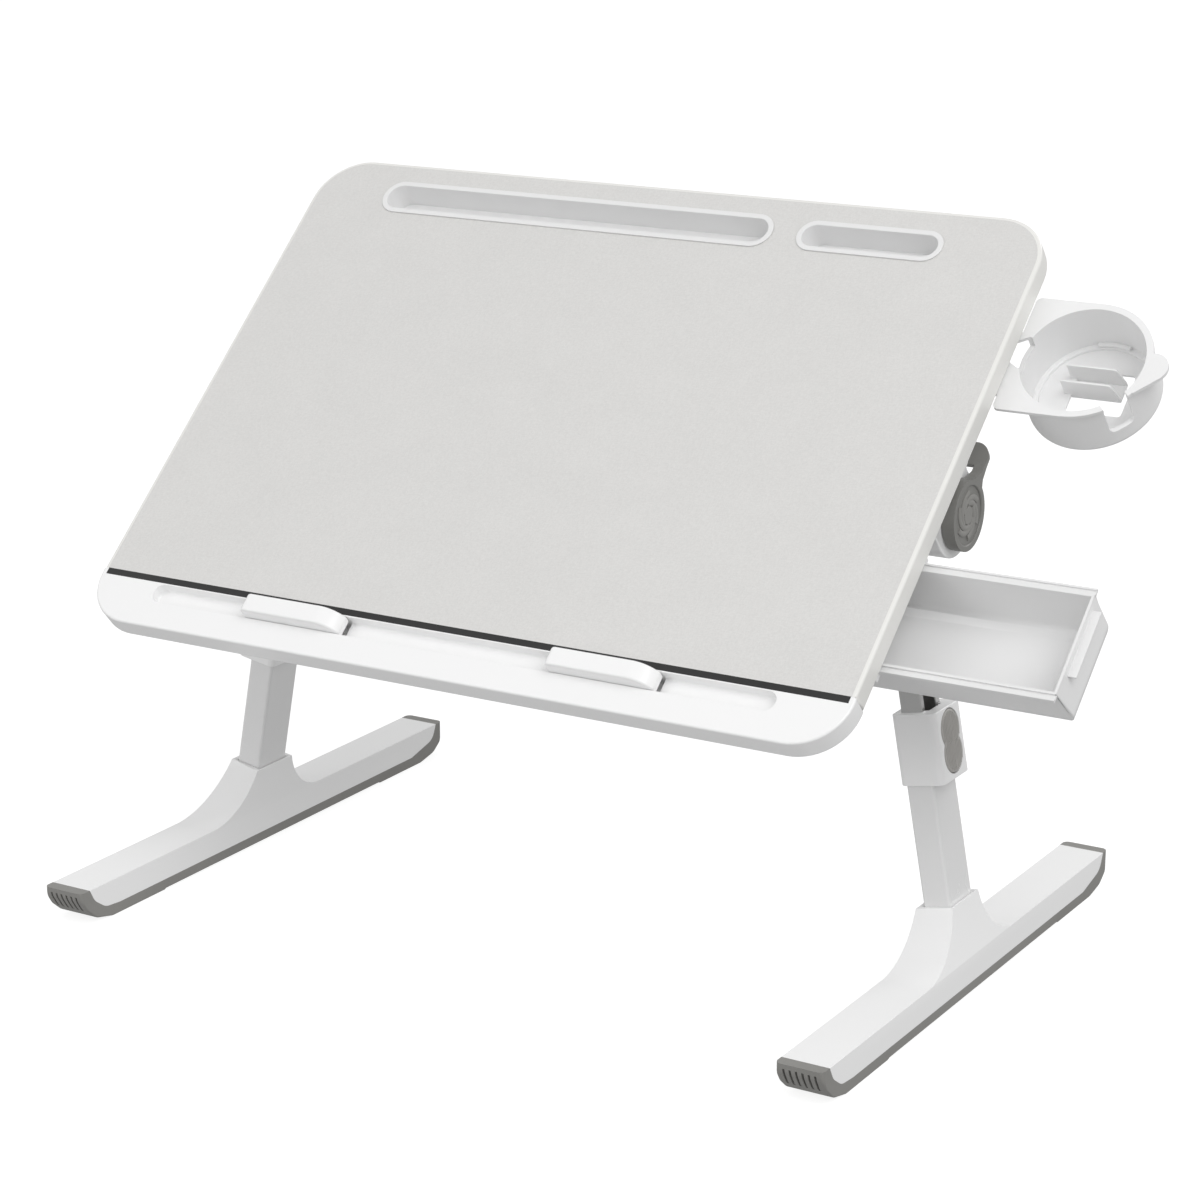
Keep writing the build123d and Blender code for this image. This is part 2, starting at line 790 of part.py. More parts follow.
# Drawer runners: channels under the board that the drawer's ledges slide in
slot_top = drawer_ledge_n + drawer_bead_rise + runner_slot_gap
slot_low = drawer_ledge_n - drawer_ledge_thick - runner_slot_gap
runners = (
    ("runner_front", drawer_front_top - drawer_ledge_width - runner_side_gap, 1),
    ("runner_rear", drawer_rear_top + drawer_ledge_width + runner_side_gap, -1),
)
for runner_name, slot_side_v, reach_side in runners:
    with BuildPart() as runner:
        with BuildSketch(table_across(runner_left)):
            with BuildLine():
                Polyline(
                    (slot_side_v - reach_side * runner_web, -board_thick),
                    (slot_side_v + reach_side * runner_reach, -board_thick),
                    (slot_side_v + reach_side * runner_reach, slot_top),
                    (slot_side_v, slot_top),
                    (slot_side_v, slot_low),
                    (slot_side_v + reach_side * runner_reach, slot_low),
                    (slot_side_v + reach_side * runner_reach, -board_thick - runner_depth),
                    (slot_side_v - reach_side * runner_web, -board_thick - runner_depth),
                    close=True,
                )
            make_face()
        extrude(amount=runner_right - runner_left)
        with BuildSketch(table_across(runner_left)):
            with Locations((slot_side_v, slot_low)):
                Rectangle(
                    runner_reach,
                    slot_top - slot_low,
                    align=(Align.MIN if reach_side > 0 else Align.MAX, Align.MIN),
                )
        extrude(amount=runner_stop)
    runner.part.label = runner_name
    export_step(runner.part, f"parts/{runner_name}.step")

# Cup guide: a flat channel under the board, open to the right, screwed through its flanges
with BuildPart() as cup_guide:
    with BuildSketch(underside):
        with Locations((guide_left, guide_front)):
            Rectangle(guide_right - guide_left, guide_rear - guide_front, align=(Align.MIN, Align.MIN))
    extrude(amount=-guide_flange_thick)
    with BuildSketch(underside):
        with Locations((guide_left, guide_body_front)):
            Rectangle(
                guide_right - guide_left, guide_body_rear - guide_body_front, align=(Align.MIN, Align.MIN)
            )
    extrude(amount=-guide_height)
    with BuildSketch(underside.offset(-guide_channel_top)):
        with Locations((guide_channel_left, guide_channel_front)):
            Rectangle(
                guide_right - guide_channel_left,
                guide_channel_rear - guide_channel_front,
                align=(Align.MIN, Align.MIN),
            )
    extrude(amount=guide_channel_top - guide_channel_low, mode=Mode.SUBTRACT)
    add(guide_screws.part, mode=Mode.SUBTRACT)
cup_guide.part.label = "cup_guide"
export_step(cup_guide.part, "parts/cup_guide.step")

# Cup holder: plate with tongue and tab, round well, handle notch, hexagonal hole and floor wings
notch_turn = math.radians(notch_angle)
notch_way = along_u * math.cos(notch_turn) + along_v * math.sin(notch_turn)
notch_plane = Plane(
    origin=table.from_local_coords(Vector(well_u, well_v, 0)) + notch_way * (well_r - well_wall),
    x_dir=along_v * math.cos(notch_turn) - along_u * math.sin(notch_turn),
    z_dir=notch_way,
)
with BuildPart() as cup_holder:
    with BuildSketch(table.offset(plate_n)) as plate_outline:
        with Locations((plate_left, plate_front)):
            Rectangle(well_u - plate_left, plate_rear - plate_front, align=(Align.MIN, Align.MIN))
        fillet(plate_outline.vertices().group_by(Axis.X)[0], plate_corner_r)
        with Locations((well_u, well_v)):
            Circle(plate_round_r)
        with Locations((well_u + tab_reach, well_v + tab_shift)):
            Circle(tab_r)
        sweep = [(well_u + u, well_v + v) for u, v in (sweep_start, sweep_end, sweep_inside)]
        with BuildLine():
            Polyline(sweep, close=True)
        make_face()
        with Locations((tongue_left, tongue_front)):
            Rectangle(well_u - tongue_left, tongue_rear - tongue_front, align=(Align.MIN, Align.MIN))
    extrude(amount=-plate_thick)
    with BuildSketch(table.offset(plate_n)):
        with Locations((well_u, well_v)):
            Circle(well_r + well_wall)
    extrude(amount=well_floor_n - well_floor_thick - plate_n)
    well_bottom = cup_holder.faces().sort_by(Axis(origin=(0, 0, 0), direction=along_n))[0]
    fillet(well_bottom.outer_wire().edges(), well_bend_r)
    with BuildSketch(table.offset(well_floor_n)):
        with Locations((well_u, well_v)):
            Circle(well_r)
    extrude(amount=plate_n - well_floor_n, mode=Mode.SUBTRACT)
    with BuildSketch(notch_plane) as notch_outline:
        with Locations((0, notch_n)):
            Rectangle(notch_width, plate_n - notch_n, align=(Align.CENTER, Align.MIN))
        fillet(notch_outline.vertices().group_by(Axis.Y)[0], notch_bend_r)
    extrude(amount=notch_reach, mode=Mode.SUBTRACT)
    with BuildSketch(table.offset(plate_n)):
        with Locations((hex_u, hex_v)):
            RegularPolygon(hex_r, side_count=6, rotation=90)
    extrude(amount=hex_bottom_n - plate_n, mode=Mode.SUBTRACT)
    with BuildSketch(table.offset(well_floor_n)):
        with Locations((opening_u, opening_v)):
            RectangleRounded(opening_length, opening_width, opening_corner_r)
    extrude(amount=-well_floor_thick, mode=Mode.SUBTRACT)
    wing_low_n = well_floor_n - well_floor_thick - wing_base_thick
    for wing_v in wing_vs:
        with BuildSketch(table_along(wing_v + wing_thick / 2)) as wing_side:
            with BuildLine():
                Polyline(
                    (wing_left, wing_low_n),
                    (wing_left, wing_top_n),
                    (wing_right_top, wing_top_n),
                    (wing_right_low, well_floor_n),
                    (wing_right_low, wing_low_n),
                    close=True,
                )
            make_face()
            fillet(wing_side.vertices().group_by(Axis.Y)[-1].sort_by(Axis.X)[-1], wing_corner_r)
        extrude(amount=wing_thick)
    with BuildSketch(table.offset(wing_low_n)):
        with Locations((wing_left, wing_vs[0] - wing_thick / 2)):
            Rectangle(
                wing_right_low - wing_left, wing_vs[1] - wing_vs[0] + wing_thick, align=(Align.MIN, Align.MIN)
            )
    extrude(amount=wing_base_thick)
cup_holder.part.label = "cup_holder"
export_step(cup_holder.part, "parts/cup_holder.step")

# Pivot bracket: base plate, cradle wall and the round housing of the tilt clutch
pivot_n = -board_thick - pivot_drop
with BuildPart() as bracket:
    with BuildSketch(underside) as base_outline:
        with Locations(((base_left + base_right) / 2, (base_front + base_rear) / 2)):
            RectangleRounded(base_right - base_left, base_rear - base_front, base_corner_r)
    extrude(amount=-base_thick)
    with BuildSketch(table_across(housing_left)):
        with Locations((pivot_v, pivot_n)):
            Circle(housing_r)
        with Locations((pivot_v, -board_thick - base_thick / 2)):
            Rectangle(2 * housing_r, pivot_drop - base_thick / 2, align=(Align.CENTER, Align.MAX))
    extrude(amount=housing_right - housing_left)
    with BuildSketch(table_across(housing_left + housing_wall)):
        with Locations((pivot_v, pivot_n)):
            Circle(cavity_r)
    extrude(amount=housing_right - housing_left - housing_wall, mode=Mode.SUBTRACT)
    with BuildSketch(table_across(housing_left)):
        with Locations((pivot_v, pivot_n)):
            Circle(collar_hole_r)
    extrude(amount=housing_wall, mode=Mode.SUBTRACT)
    with BuildSketch(table_along(pivot_v + cradle_gap + cradle_thick)):
        with BuildLine():
            Polyline(
                (cradle_left, -board_thick - base_thick / 2),
                (cradle_left + cradle_thick, -board_thick - base_thick),
                (cradle_left + cradle_height / 2, -board_thick - base_thick - cradle_height),
                (housing_right, -board_thick - base_thick - cradle_height),
                (housing_right, -board_thick - base_thick / 2),
                close=True,
            )
        make_face()
    extrude(amount=cradle_thick + cradle_gap - housing_r)
    add(bracket_screws.part, mode=Mode.SUBTRACT)

# Clutch cover: the disc that closes the housing round the clamp pin
with BuildPart() as clutch_cover:
    with BuildSketch(table_across(housing_right - cover_thick - cover_inset)):
        with Locations((pivot_v, pivot_n)):
            Circle(cavity_r)
            Circle(cover_hole_r, mode=Mode.SUBTRACT)
    extrude(amount=cover_thick)

# Clutch ring: toothed ring that turns in the housing and carries the hinge drum
with BuildPart() as clutch_ring:
    with BuildSketch(table_across(ring_face_u)):
        with Locations((pivot_v, pivot_n)):
            Circle(ring_r)
            with PolarLocations(ring_r, ring_tooth_count):
                Rectangle(2 * ring_tooth, ring_tooth)
    extrude(amount=ring_end_u - ring_face_u)
    with BuildSketch(table_across(ring_hub_u)):
        with Locations((pivot_v, pivot_n)):
            Circle(ring_hub_r)
    extrude(amount=ring_end_u - ring_hub_u)
    with BuildSketch(table_across(ring_hub_u)):
        with Locations((pivot_v, pivot_n)):
            Circle(ring_bore_r)
    extrude(amount=ring_end_u - ring_hub_u, mode=Mode.SUBTRACT)

# Clamp pin: the lever's pin with the disc that presses on the clutch ring
with BuildPart() as clamp_pin:
    with BuildSketch(table_across(clamp_left)):
        with Locations((pivot_v, pivot_n)):
            Circle(clamp_r)
    extrude(amount=clamp_right - clamp_left)
    with BuildSketch(table_across(clamp_right)):
        with Locations((pivot_v, pivot_n)):
            Circle(clamp_pin_r)
    extrude(amount=lever_left - clamp_right)

# Cam lever: dished disc with a neck that widens into a curved thumb tab
with BuildPart() as lever_tab:
    with BuildSketch(clutch_across(lever_right)):
        with BuildLine():
            Polyline(
                lever_neck_low,
                lever_neck_side,
                lever_neck_bend,
                lever_tab_low,
                lever_tab_mid,
                lever_tab_under,
                lever_tab_end,
                lever_tab_tip,
                lever_tab_over,
                lever_tab_top,
                lever_tab_rise,
                lever_tab_root,
                lever_neck_high,
                close=True,
            )
        make_face()
    extrude(amount=-lever_head_width)
    with BuildSketch(table) as tab_plan:
        with Locations((lever_right, pivot_v + lever_head_start)):
            Rectangle(lever_head_width, lever_head_end - lever_head_start, align=(Align.MAX, Align.MIN))
        fillet(tab_plan.vertices().group_by(Axis.Y)[-1], lever_head_r)
        fillet(tab_plan.vertices().group_by(Axis.Y)[0].sort_by(Axis.X)[0], lever_inner_r)
        with Locations((lever_right, pivot_v)):
            Rectangle(lever_neck_width, (lever_head_start + lever_head_end) / 2, align=(Align.MAX, Align.MIN))
    extrude(amount=-2 * (board_thick + pivot_drop), mode=Mode.INTERSECT)

with BuildPart() as cam_lever:
    with BuildSketch(clutch_across(lever_left)):
        Circle(lever_r)
    extrude(amount=lever_right - lever_left)
    add(lever_tab.part)
    with BuildSketch(clutch_across(lever_right)):
        Circle(lever_dish_r)
    extrude(amount=-lever_dish_depth, mode=Mode.SUBTRACT)

# Hinge drum: turns with the leg, holds the knuckle between two ears
with BuildPart() as hinge_drum:
    with BuildSketch(pivot_across(drum_left)):
        Circle(drum_r)
    extrude(amount=drum_right - drum_left)
    with BuildSketch(pivot_across(drum_left)):
        with Locations((0, -ear_down)):
            Rectangle(2 * drum_r, drum_r, align=(Align.CENTER, Align.MAX))
        with Locations((0, saddle_up)):
            Rectangle(2 * ear_inner, 2 * drum_r, align=(Align.CENTER, Align.MAX))
    extrude(amount=drum_web - drum_left, mode=Mode.SUBTRACT)
    with BuildSketch(pivot_across(drum_left)):
        with Locations((ear_inner, -ear_down)):
            Rectangle(ear_outer - ear_inner, ear_down + ear_up, align=(Align.MIN, Align.MIN))
        with Locations((-ear_inner, -ear_down)):
            Rectangle(ear_outer - ear_inner, ear_down + ear_up, align=(Align.MAX, Align.MIN))
    extrude(amount=drum_right - drum_left)
    with BuildSketch(pivot_across(drum_right)):
        Circle(spigot_r)
    extrude(amount=spigot_end - drum_right)
    with BuildSketch(pivot_facing(0)):
        Circle(bolt_r)
    extrude(amount=ear_outer, both=True, mode=Mode.SUBTRACT)

# Fold bolt: through both ears and the knuckle, with a head behind and a nut in front
with BuildPart() as fold_bolt:
    with BuildSketch(pivot_facing(0)):
        Circle(bolt_r)
    extrude(amount=ear_outer, both=True)
    with BuildSketch(pivot_facing(ear_outer)):
        Circle(bolt_head_r)
    extrude(amount=-bolt_head_thick)
    with BuildSketch(pivot_facing(-ear_outer)):
        RegularPolygon(bolt_head_r, side_count=6)
    extrude(amount=bolt_head_thick)

# Knuckle: the leg's hinge eye with its box end and the plug that holds the inner tube
with BuildPart() as knuckle:
    with BuildSketch(pivot_facing(0)):
        Circle(knuckle_r)
    extrude(amount=knuckle_half, both=True)
    with BuildSketch(leg.offset(knuckle_start)):
        with Locations(((knuckle_inner + knuckle_outer) / 2, 0)):
            Rectangle(knuckle_outer - knuckle_inner, 2 * knuckle_neck_half)
    extrude(amount=knuckle_end - knuckle_start)
    with BuildSketch(leg.offset(knuckle_step)):
        with Locations(((knuckle_inner + knuckle_collar_outer) / 2, 0)):
            Rectangle(knuckle_collar_outer - knuckle_inner, 2 * knuckle_neck_half)
    extrude(amount=knuckle_end - knuckle_step)
    with BuildSketch(leg.offset(knuckle_end)):
        Rectangle(inner_thick - 2 * inner_wall, inner_width - 2 * inner_wall)
    extrude(amount=knuckle_plug_end - knuckle_end)
    with BuildSketch(pivot_facing(0)):
        Circle(bolt_r + bolt_running_gap)
    extrude(amount=knuckle_half, both=True, mode=Mode.SUBTRACT)

# Inner tube, fixed to the knuckle, with a slot down its outer side
with BuildPart() as inner_tube:
    with BuildSketch(leg.offset(knuckle_end)):
        Rectangle(inner_thick, inner_width)
        Rectangle(inner_thick - 2 * inner_wall, inner_width - 2 * inner_wall, mode=Mode.SUBTRACT)
    extrude(amount=inner_end - knuckle_end)
    with BuildSketch(leg.offset(inner_slot_start)):
        with Locations((inner_thick / 2, 0)):
            Rectangle(2 * inner_wall, 2 * inner_slot_half)
    extrude(amount=inner_end - inner_slot_start, mode=Mode.SUBTRACT)

# Height core: notched bar inside the inner tube
with BuildPart() as height_core:
    with BuildSketch(leg.offset(core_start)):
        Rectangle(
            inner_thick - 2 * inner_wall - 2 * slide_gap, inner_width - 2 * inner_wall - 2 * slide_gap
        )
    extrude(amount=core_end - core_start)
    core_face = inner_thick / 2 - inner_wall - slide_gap
    for notch in range(core_notch_count):
        with BuildSketch(leg.offset(core_start + core_first_notch + notch * core_notch_pitch)):
            with Locations((core_face, 0)):
                Rectangle(core_notch_depth, inner_width / 2, align=(Align.MAX, Align.CENTER))
        extrude(amount=core_notch_length, mode=Mode.SUBTRACT)

# Outer tube, from the sleeve down into the foot
with BuildPart() as outer_tube:
    with BuildSketch(leg.offset(outer_start)):
        Rectangle(outer_thick, outer_width)
        Rectangle(inner_thick + 2 * slide_gap, inner_width + 2 * slide_gap, mode=Mode.SUBTRACT)
    extrude(amount=outer_end - outer_start)

# Sleeve: guides the inner tube, grips the outer tube and houses the rocker button
well_face = leg.offset(button_centre)
button_plane = Plane(
    origin=well_face.from_local_coords(Vector(sleeve_outer, 0, 0)), x_dir=down_leg, z_dir=out_of_leg
)
with BuildPart() as sleeve:
    with BuildSketch(leg.offset(sleeve_start)):
        with Locations(((sleeve_inner + sleeve_outer) / 2, 0)):
            RectangleRounded(sleeve_outer - sleeve_inner, 2 * sleeve_half, sleeve_corner_r)
    extrude(amount=sleeve_end - sleeve_start)
    with BuildSketch(leg.offset(sleeve_start)):
        Rectangle(inner_thick + 2 * slide_gap, inner_width + 2 * slide_gap)
    extrude(amount=outer_start - sleeve_start, mode=Mode.SUBTRACT)
    with BuildSketch(leg.offset(outer_start)):
        Rectangle(outer_thick, outer_width)
    extrude(amount=sleeve_end - outer_start, mode=Mode.SUBTRACT)
    with BuildSketch(leg.offset(sleeve_start)):
        Rectangle(sleeve_mouth_reach, 2 * sleeve_mouth_half, align=(Align.MIN, Align.CENTER))
    extrude(amount=sleeve_mouth_depth, mode=Mode.SUBTRACT)
    with BuildSketch(button_plane):
        with Locations((-button_lobe_gap, 0), (button_lobe_gap, 0)):
            Circle(button_lobe_r + button_gap)
        Rectangle(button_waist_length, button_waist + 2 * button_gap)
    extrude(amount=button_well_floor - sleeve_outer, mode=Mode.SUBTRACT)
    with BuildSketch(button_plane.offset(button_well_floor - sleeve_outer)):
        with Locations((shoe_centre - button_centre, 0)):
            Rectangle(shoe_length + 2 * shoe_hole_gap, shoe_width + 2 * shoe_hole_gap)
    extrude(amount=-(button_well_floor - inner_thick / 2), mode=Mode.SUBTRACT)
    axle_plane = Plane(
        origin=well_face.from_local_coords(Vector(button_axle_rise, 0, 0)),
        x_dir=down_leg,
        z_dir=(0, 1, 0),
    )
    with BuildSketch(axle_plane):
        Circle(button_axle_r + button_axle_running)
    extrude(amount=button_axle_half + button_gap, both=True, mode=Mode.SUBTRACT)

# Button: two ribbed lobes that rock about an axle across the waist
with BuildPart() as button:
    with BuildSketch(button_plane.offset(button_low - sleeve_outer)):
        with Locations((-button_lobe_gap, 0), (button_lobe_gap, 0)):
            Circle(button_lobe_r)
        Rectangle(button_waist_length, button_waist)
    extrude(amount=button_high - button_low)
    with BuildSketch(axle_plane):
        Circle(button_axle_r)
    extrude(amount=button_axle_half, both=True)
    with BuildSketch(leg.offset(button_centre - button_axle_r)):
        with Locations((button_axle_rise, 0)):
            Rectangle(button_low - button_axle_rise, button_waist, align=(Align.MIN, Align.CENTER))
    extrude(amount=2 * button_axle_r)

# Lock shoe under the button's upper lobe
with BuildPart() as lock_shoe:
    with BuildSketch(leg.offset(shoe_centre - shoe_length / 2)):
        with Locations((shoe_low, 0)):
            Rectangle(button_low - shoe_low, shoe_width, align=(Align.MIN, Align.CENTER))
    extrude(amount=shoe_length)

# Leaf spring on the well floor under the button's lower lobe
with BuildPart() as leaf_spring:
    with BuildSketch(leg.offset(spring_start)):
        with Locations((button_well_floor, 0)):
            Rectangle(spring_thick, spring_width, align=(Align.MIN, Align.CENTER))
    extrude(amount=spring_end - spring_start)

# Foot shell: long bar with a flared neck that takes the outer tube
neck_x = pivot.X - middle_x
with BuildPart() as neck:
    with BuildSketch(foot_side(foot_centre - 2 * foot_half)):
        with BuildLine():
            collar_mid = leg.from_local_coords(Vector(0, 0, collar_start))
            collar_y = collar_mid.Y - front_y
            collar_z = collar_mid.Z + flare_join_drop
            front_low = (front_flare_y, foot_top)
            front_high = (collar_y - collar_width / 2, collar_z)
            rear_low = (rear_flare_y, foot_top)
            rear_high = (collar_y + collar_width / 2, collar_z)
            roof = foot_top + 2 * collar_z
            TangentArc(front_low, front_high, tangent=(1, 0))
            Polyline(front_high, (front_high[0], roof), (rear_high[0], roof), rear_high)
            TangentArc(rear_low, rear_high, tangent=(-1, 0))
            Polyline(rear_low, (rear_flare_y, sole_top), (front_flare_y, sole_top), front_low)
        make_face()
    extrude(amount=4 * foot_half)
    with BuildSketch(pivot_facing(-front_y)):
        with BuildLine():
            corner_in = leg.from_local_coords(Vector(-collar_thick / 2, 0, collar_start)) - pivot
            corner_out = leg.from_local_coords(Vector(collar_thick / 2, 0, collar_start)) - pivot
            left_x = foot_centre - foot_half - neck_x
            right_x = foot_centre + foot_half - neck_x
            Polyline(
                (left_x, sole_top - pivot.Z),
                (left_x, foot_top - pivot.Z),
                (corner_in.X, corner_in.Z),
                (corner_out.X, corner_out.Z),
                (right_x, foot_top - pivot.Z),
                (right_x, sole_top - pivot.Z),
                close=True,
            )
        make_face()
    extrude(amount=2 * board_depth, both=True, mode=Mode.INTERSECT)

foot_length_mid = (sole_toe[0] + sole_heel[0]) / 2
with BuildSketch(foot_side(foot_centre - foot_half)) as shell_side:
    with BuildLine():
        Polyline(
            shell_front,
            shell_toe_root,
            shell_toe_low,
            shell_toe,
            shell_heel,
            shell_heel_root,
            shell_rear,
            close=True,
        )
    make_face()
    fillet(shell_side.vertices().sort_by_distance(Vector(*shell_toe_root))[0], foot_toe_bend_r)
    fillet(shell_side.vertices().sort_by_distance(Vector(*shell_toe_low))[0], foot_toe_low_r)
    fillet(shell_side.vertices().sort_by_distance(Vector(*shell_heel_root))[0], foot_heel_bend_r)
with BuildPart() as foot_shell:
    extrude(shell_side.sketch, amount=2 * foot_half)
    for hollow_front, hollow_rear in (foot_front_hollow, foot_rear_hollow):
        with BuildSketch(floor.offset(sole_top)):
            with Locations((foot_centre, (hollow_front + hollow_rear) / 2)):
                Rectangle(2 * (foot_half - foot_wall), hollow_rear - hollow_front)
        extrude(amount=foot_top - foot_wall - sole_top, mode=Mode.SUBTRACT)
    add(neck.part)
    with BuildSketch(leg.offset(sleeve_end)):
        Rectangle(outer_thick, outer_width)
    extrude(amount=outer_end - sleeve_end, mode=Mode.SUBTRACT)

# Sole: rubber underlay with ribbed caps at both ends
sole_bends = (
    sole_toe_side,
    sole_toe_low,
    sole_toe_root,
    sole_front,
    sole_rear,
    sole_heel_root,
    sole_heel_side,
)
with BuildSketch(foot_side(foot_centre - foot_half)) as sole_side:
    with BuildLine():
        Polyline(
            sole_toe,
            sole_toe_side,
            sole_toe_low,
            sole_toe_root,
            sole_front,
            sole_front_pad,
            sole_front_step,
            sole_rear_step,
            sole_rear_pad,
            sole_rear,
            sole_heel_root,
            sole_heel_side,
            sole_heel,
            close=True,
        )
    make_face()
    for bend in sole_bends:
        fillet(sole_side.vertices().sort_by_distance(Vector(*bend))[0], sole_bend_r)
    add(shell_side.sketch_local, mode=Mode.SUBTRACT)
with BuildPart() as foot_sole:
    extrude(sole_side.sketch, amount=2 * foot_half)
    with BuildSketch(floor):
        with Locations((foot_centre, foot_length_mid)):
            RectangleRounded(2 * foot_half, sole_heel[0] - sole_toe[0], foot_corner_r)
    extrude(amount=foot_top, mode=Mode.INTERSECT)
    for slot in range(cap_slot_count):
        slot_x = foot_centre + (slot - (cap_slot_count - 1) / 2) * cap_slot_pitch
        with BuildSketch(foot_side(slot_x - cap_slot_width / 2)):
            with BuildLine():
                toe_low_out = (toe_slot_low[0] - cap_slot_reach, toe_slot_low[1])
                toe_high_out = (toe_slot_high[0] - cap_slot_reach, toe_slot_high[1])
                Polyline(toe_slot_low, toe_slot_high, toe_high_out, toe_low_out, close=True)
            make_face()
            with BuildLine():
                heel_low_out = (heel_slot_low[0] + cap_slot_reach, heel_slot_low[1])
                heel_high_out = (heel_slot_high[0] + cap_slot_reach, heel_slot_high[1])
                Polyline(heel_slot_low, heel_slot_high, heel_high_out, heel_low_out, close=True)
            make_face()
        extrude(amount=cap_slot_width, mode=Mode.SUBTRACT)

# Both sides: the right hand pieces are modelled above, the left hand ones mirror them
side_pieces = (
    ("bracket", bracket),
    ("clutch_cover", clutch_cover),
    ("clutch_ring", clutch_ring),
    ("clamp_pin", clamp_pin),
    ("cam_lever", cam_lever),
    ("hinge_drum", hinge_drum),
    ("fold_bolt", fold_bolt),
    ("knuckle", knuckle),
    ("inner_tube", inner_tube),
    ("height_core", height_core),
    ("outer_tube", outer_tube),
    ("sleeve", sleeve),
    ("button", button),
    ("lock_shoe", lock_shoe),
    ("leaf_spring", leaf_spring),
    ("foot_shell", foot_shell),
    ("foot_sole", foot_sole),
)
for piece_name, right_piece in side_pieces:
    right_piece.part.label = f"{piece_name}_right"
    export_step(right_piece.part, f"parts/{piece_name}_right.step")
    with BuildPart() as left_piece:
        mirror(right_piece.part, about=centre)
    left_piece.part.label = f"{piece_name}_left"
    export_step(left_piece.part, f"parts/{piece_name}_left.step")
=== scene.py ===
import json
import logging
import math
from dataclasses import dataclass, replace
from enum import Enum
from typing import Callable, Iterable, Optional, Sequence

import bmesh
import bpy
from mathutils import Matrix, Vector


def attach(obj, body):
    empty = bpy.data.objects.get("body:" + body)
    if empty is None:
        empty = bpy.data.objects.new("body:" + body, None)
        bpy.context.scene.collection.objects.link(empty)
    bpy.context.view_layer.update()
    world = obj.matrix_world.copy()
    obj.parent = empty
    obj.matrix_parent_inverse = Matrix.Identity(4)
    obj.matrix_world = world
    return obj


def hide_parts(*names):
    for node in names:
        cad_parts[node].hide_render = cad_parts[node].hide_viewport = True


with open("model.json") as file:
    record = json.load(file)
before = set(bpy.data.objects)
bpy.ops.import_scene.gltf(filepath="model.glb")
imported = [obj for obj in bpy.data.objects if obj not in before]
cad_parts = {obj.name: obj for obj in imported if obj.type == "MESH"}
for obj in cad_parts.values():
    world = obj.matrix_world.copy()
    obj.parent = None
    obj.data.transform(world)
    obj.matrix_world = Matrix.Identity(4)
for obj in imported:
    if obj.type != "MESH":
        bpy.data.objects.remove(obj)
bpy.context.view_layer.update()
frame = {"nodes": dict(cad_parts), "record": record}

MM = 0.001
MM_PER_METRE = 1000.0
# Points of a CAD node, and of a rounded mesh, that are nearer than this become one, in metres.
MERGE_DISTANCE = 2e-6
ROUNDED_MERGE_DISTANCE = 1e-6
# Bend up to which neighbouring faces are made one, and bend from which an edge stays sharp, in degrees.
FLAT_ANGLE = 0.4
SHARP_ANGLE = 38.0
UP = Vector((0, 0, 1))
log = logging.getLogger("lap_desk")

Colour = tuple[float, float, float]
EdgeTest = Callable[[Vector, bmesh.types.BMEdge], bool]


class Side(Enum):
    """The two legs, with the sign of the way out from the middle."""

    RIGHT = 1
    LEFT = -1

    @property
    def word(self) -> str:
        """Return the ending of this side's node names."""
        return self.name.lower()


@dataclass(frozen=True)
class DeskFrame:
    """Places on the desk, in millimetres, turned into places in the row, in metres.

    Attributes:
        middle_x: The row's x of the table's middle.
        front_y: The row's y of the rail's upper front edge.
        front_z: The row's z of that edge.
        tilt: How far the top is tilted, in radians.
        splay: How far a leg leans outwards, in radians.
        pivot_u: The right leg's fold axis, across the table.
        pivot_v: The tilt axis, back from the rail's front edge.
        pivot_n: The tilt axis, up from the table's top.
    """

    middle_x: float = -53.925
    front_y: float = -198.6
    front_z: float = 226.2
    tilt: float = math.radians(41.45)
    splay: float = math.radians(10.42)
    pivot_u: float = 241.9
    pivot_v: float = 219.0
    pivot_n: float = -50.0

    def table(self) -> Matrix:
        """Return the matrix from table places (u, v, n) to the row."""
        c, s = math.cos(self.tilt), math.sin(self.tilt)
        turn = Matrix((
            (1, 0, 0, self.middle_x),
            (0, c, -s, self.front_y),
            (0, s, c, self.front_z),
            (0, 0, 0, 1),
        ))
        return Matrix.Scale(MM, 4) @ turn

    def leg(self) -> Matrix:
        """Return the matrix from right leg places (x out, y forward, z down the leg) to the row."""
        c, s = math.cos(self.splay), math.sin(self.splay)
        pivot = self.table() @ Vector((self.pivot_u, self.pivot_v, self.pivot_n)) / MM
        turn = Matrix((
            (c, 0, s, pivot.x),
            (0, -1, 0, pivot.y),
            (s, 0, -c, pivot.z),
            (0, 0, 0, 1),
        ))
        return Matrix.Scale(MM, 4) @ turn

    def clutch(self) -> Matrix:
        """Return the matrix from clutch places (v, n, u from the tilt axis) to the row."""
        shift = Matrix((
            (0, 0, 1, 0),
            (1, 0, 0, self.pivot_v),
            (0, 1, 0, self.pivot_n),
            (0, 0, 0, 1),
        ))
        return self.table() @ shift

    def mirrored(self, place: Matrix, side: Side) -> Matrix:
        """Return a right hand matrix, mirrored across the middle for the left side.

        Args:
            place: The right hand matrix.
            side: The side that it is for.

        Returns:
            The matrix for that side.
        """
        if side is Side.RIGHT:
            return place
        flip = Matrix.Diagonal((-1, 1, 1, 1))
        flip[0][3] = 2 * self.middle_x * MM
        return flip @ place


DESK = DeskFrame()


@dataclass(frozen=True)
class Rounding:
    """One pass of rounded outer edges on a piece.

    Attributes:
        width: Width of the rounding in millimetres.
        segments: Number of strips across it.
        angle: Smallest bend of an edge that is rounded, in degrees.
        test: Extra test on the edge's middle, in table places, and on the edge.
    """

    width: float
    segments: int
    angle: float
    test: Optional[EdgeTest] = None


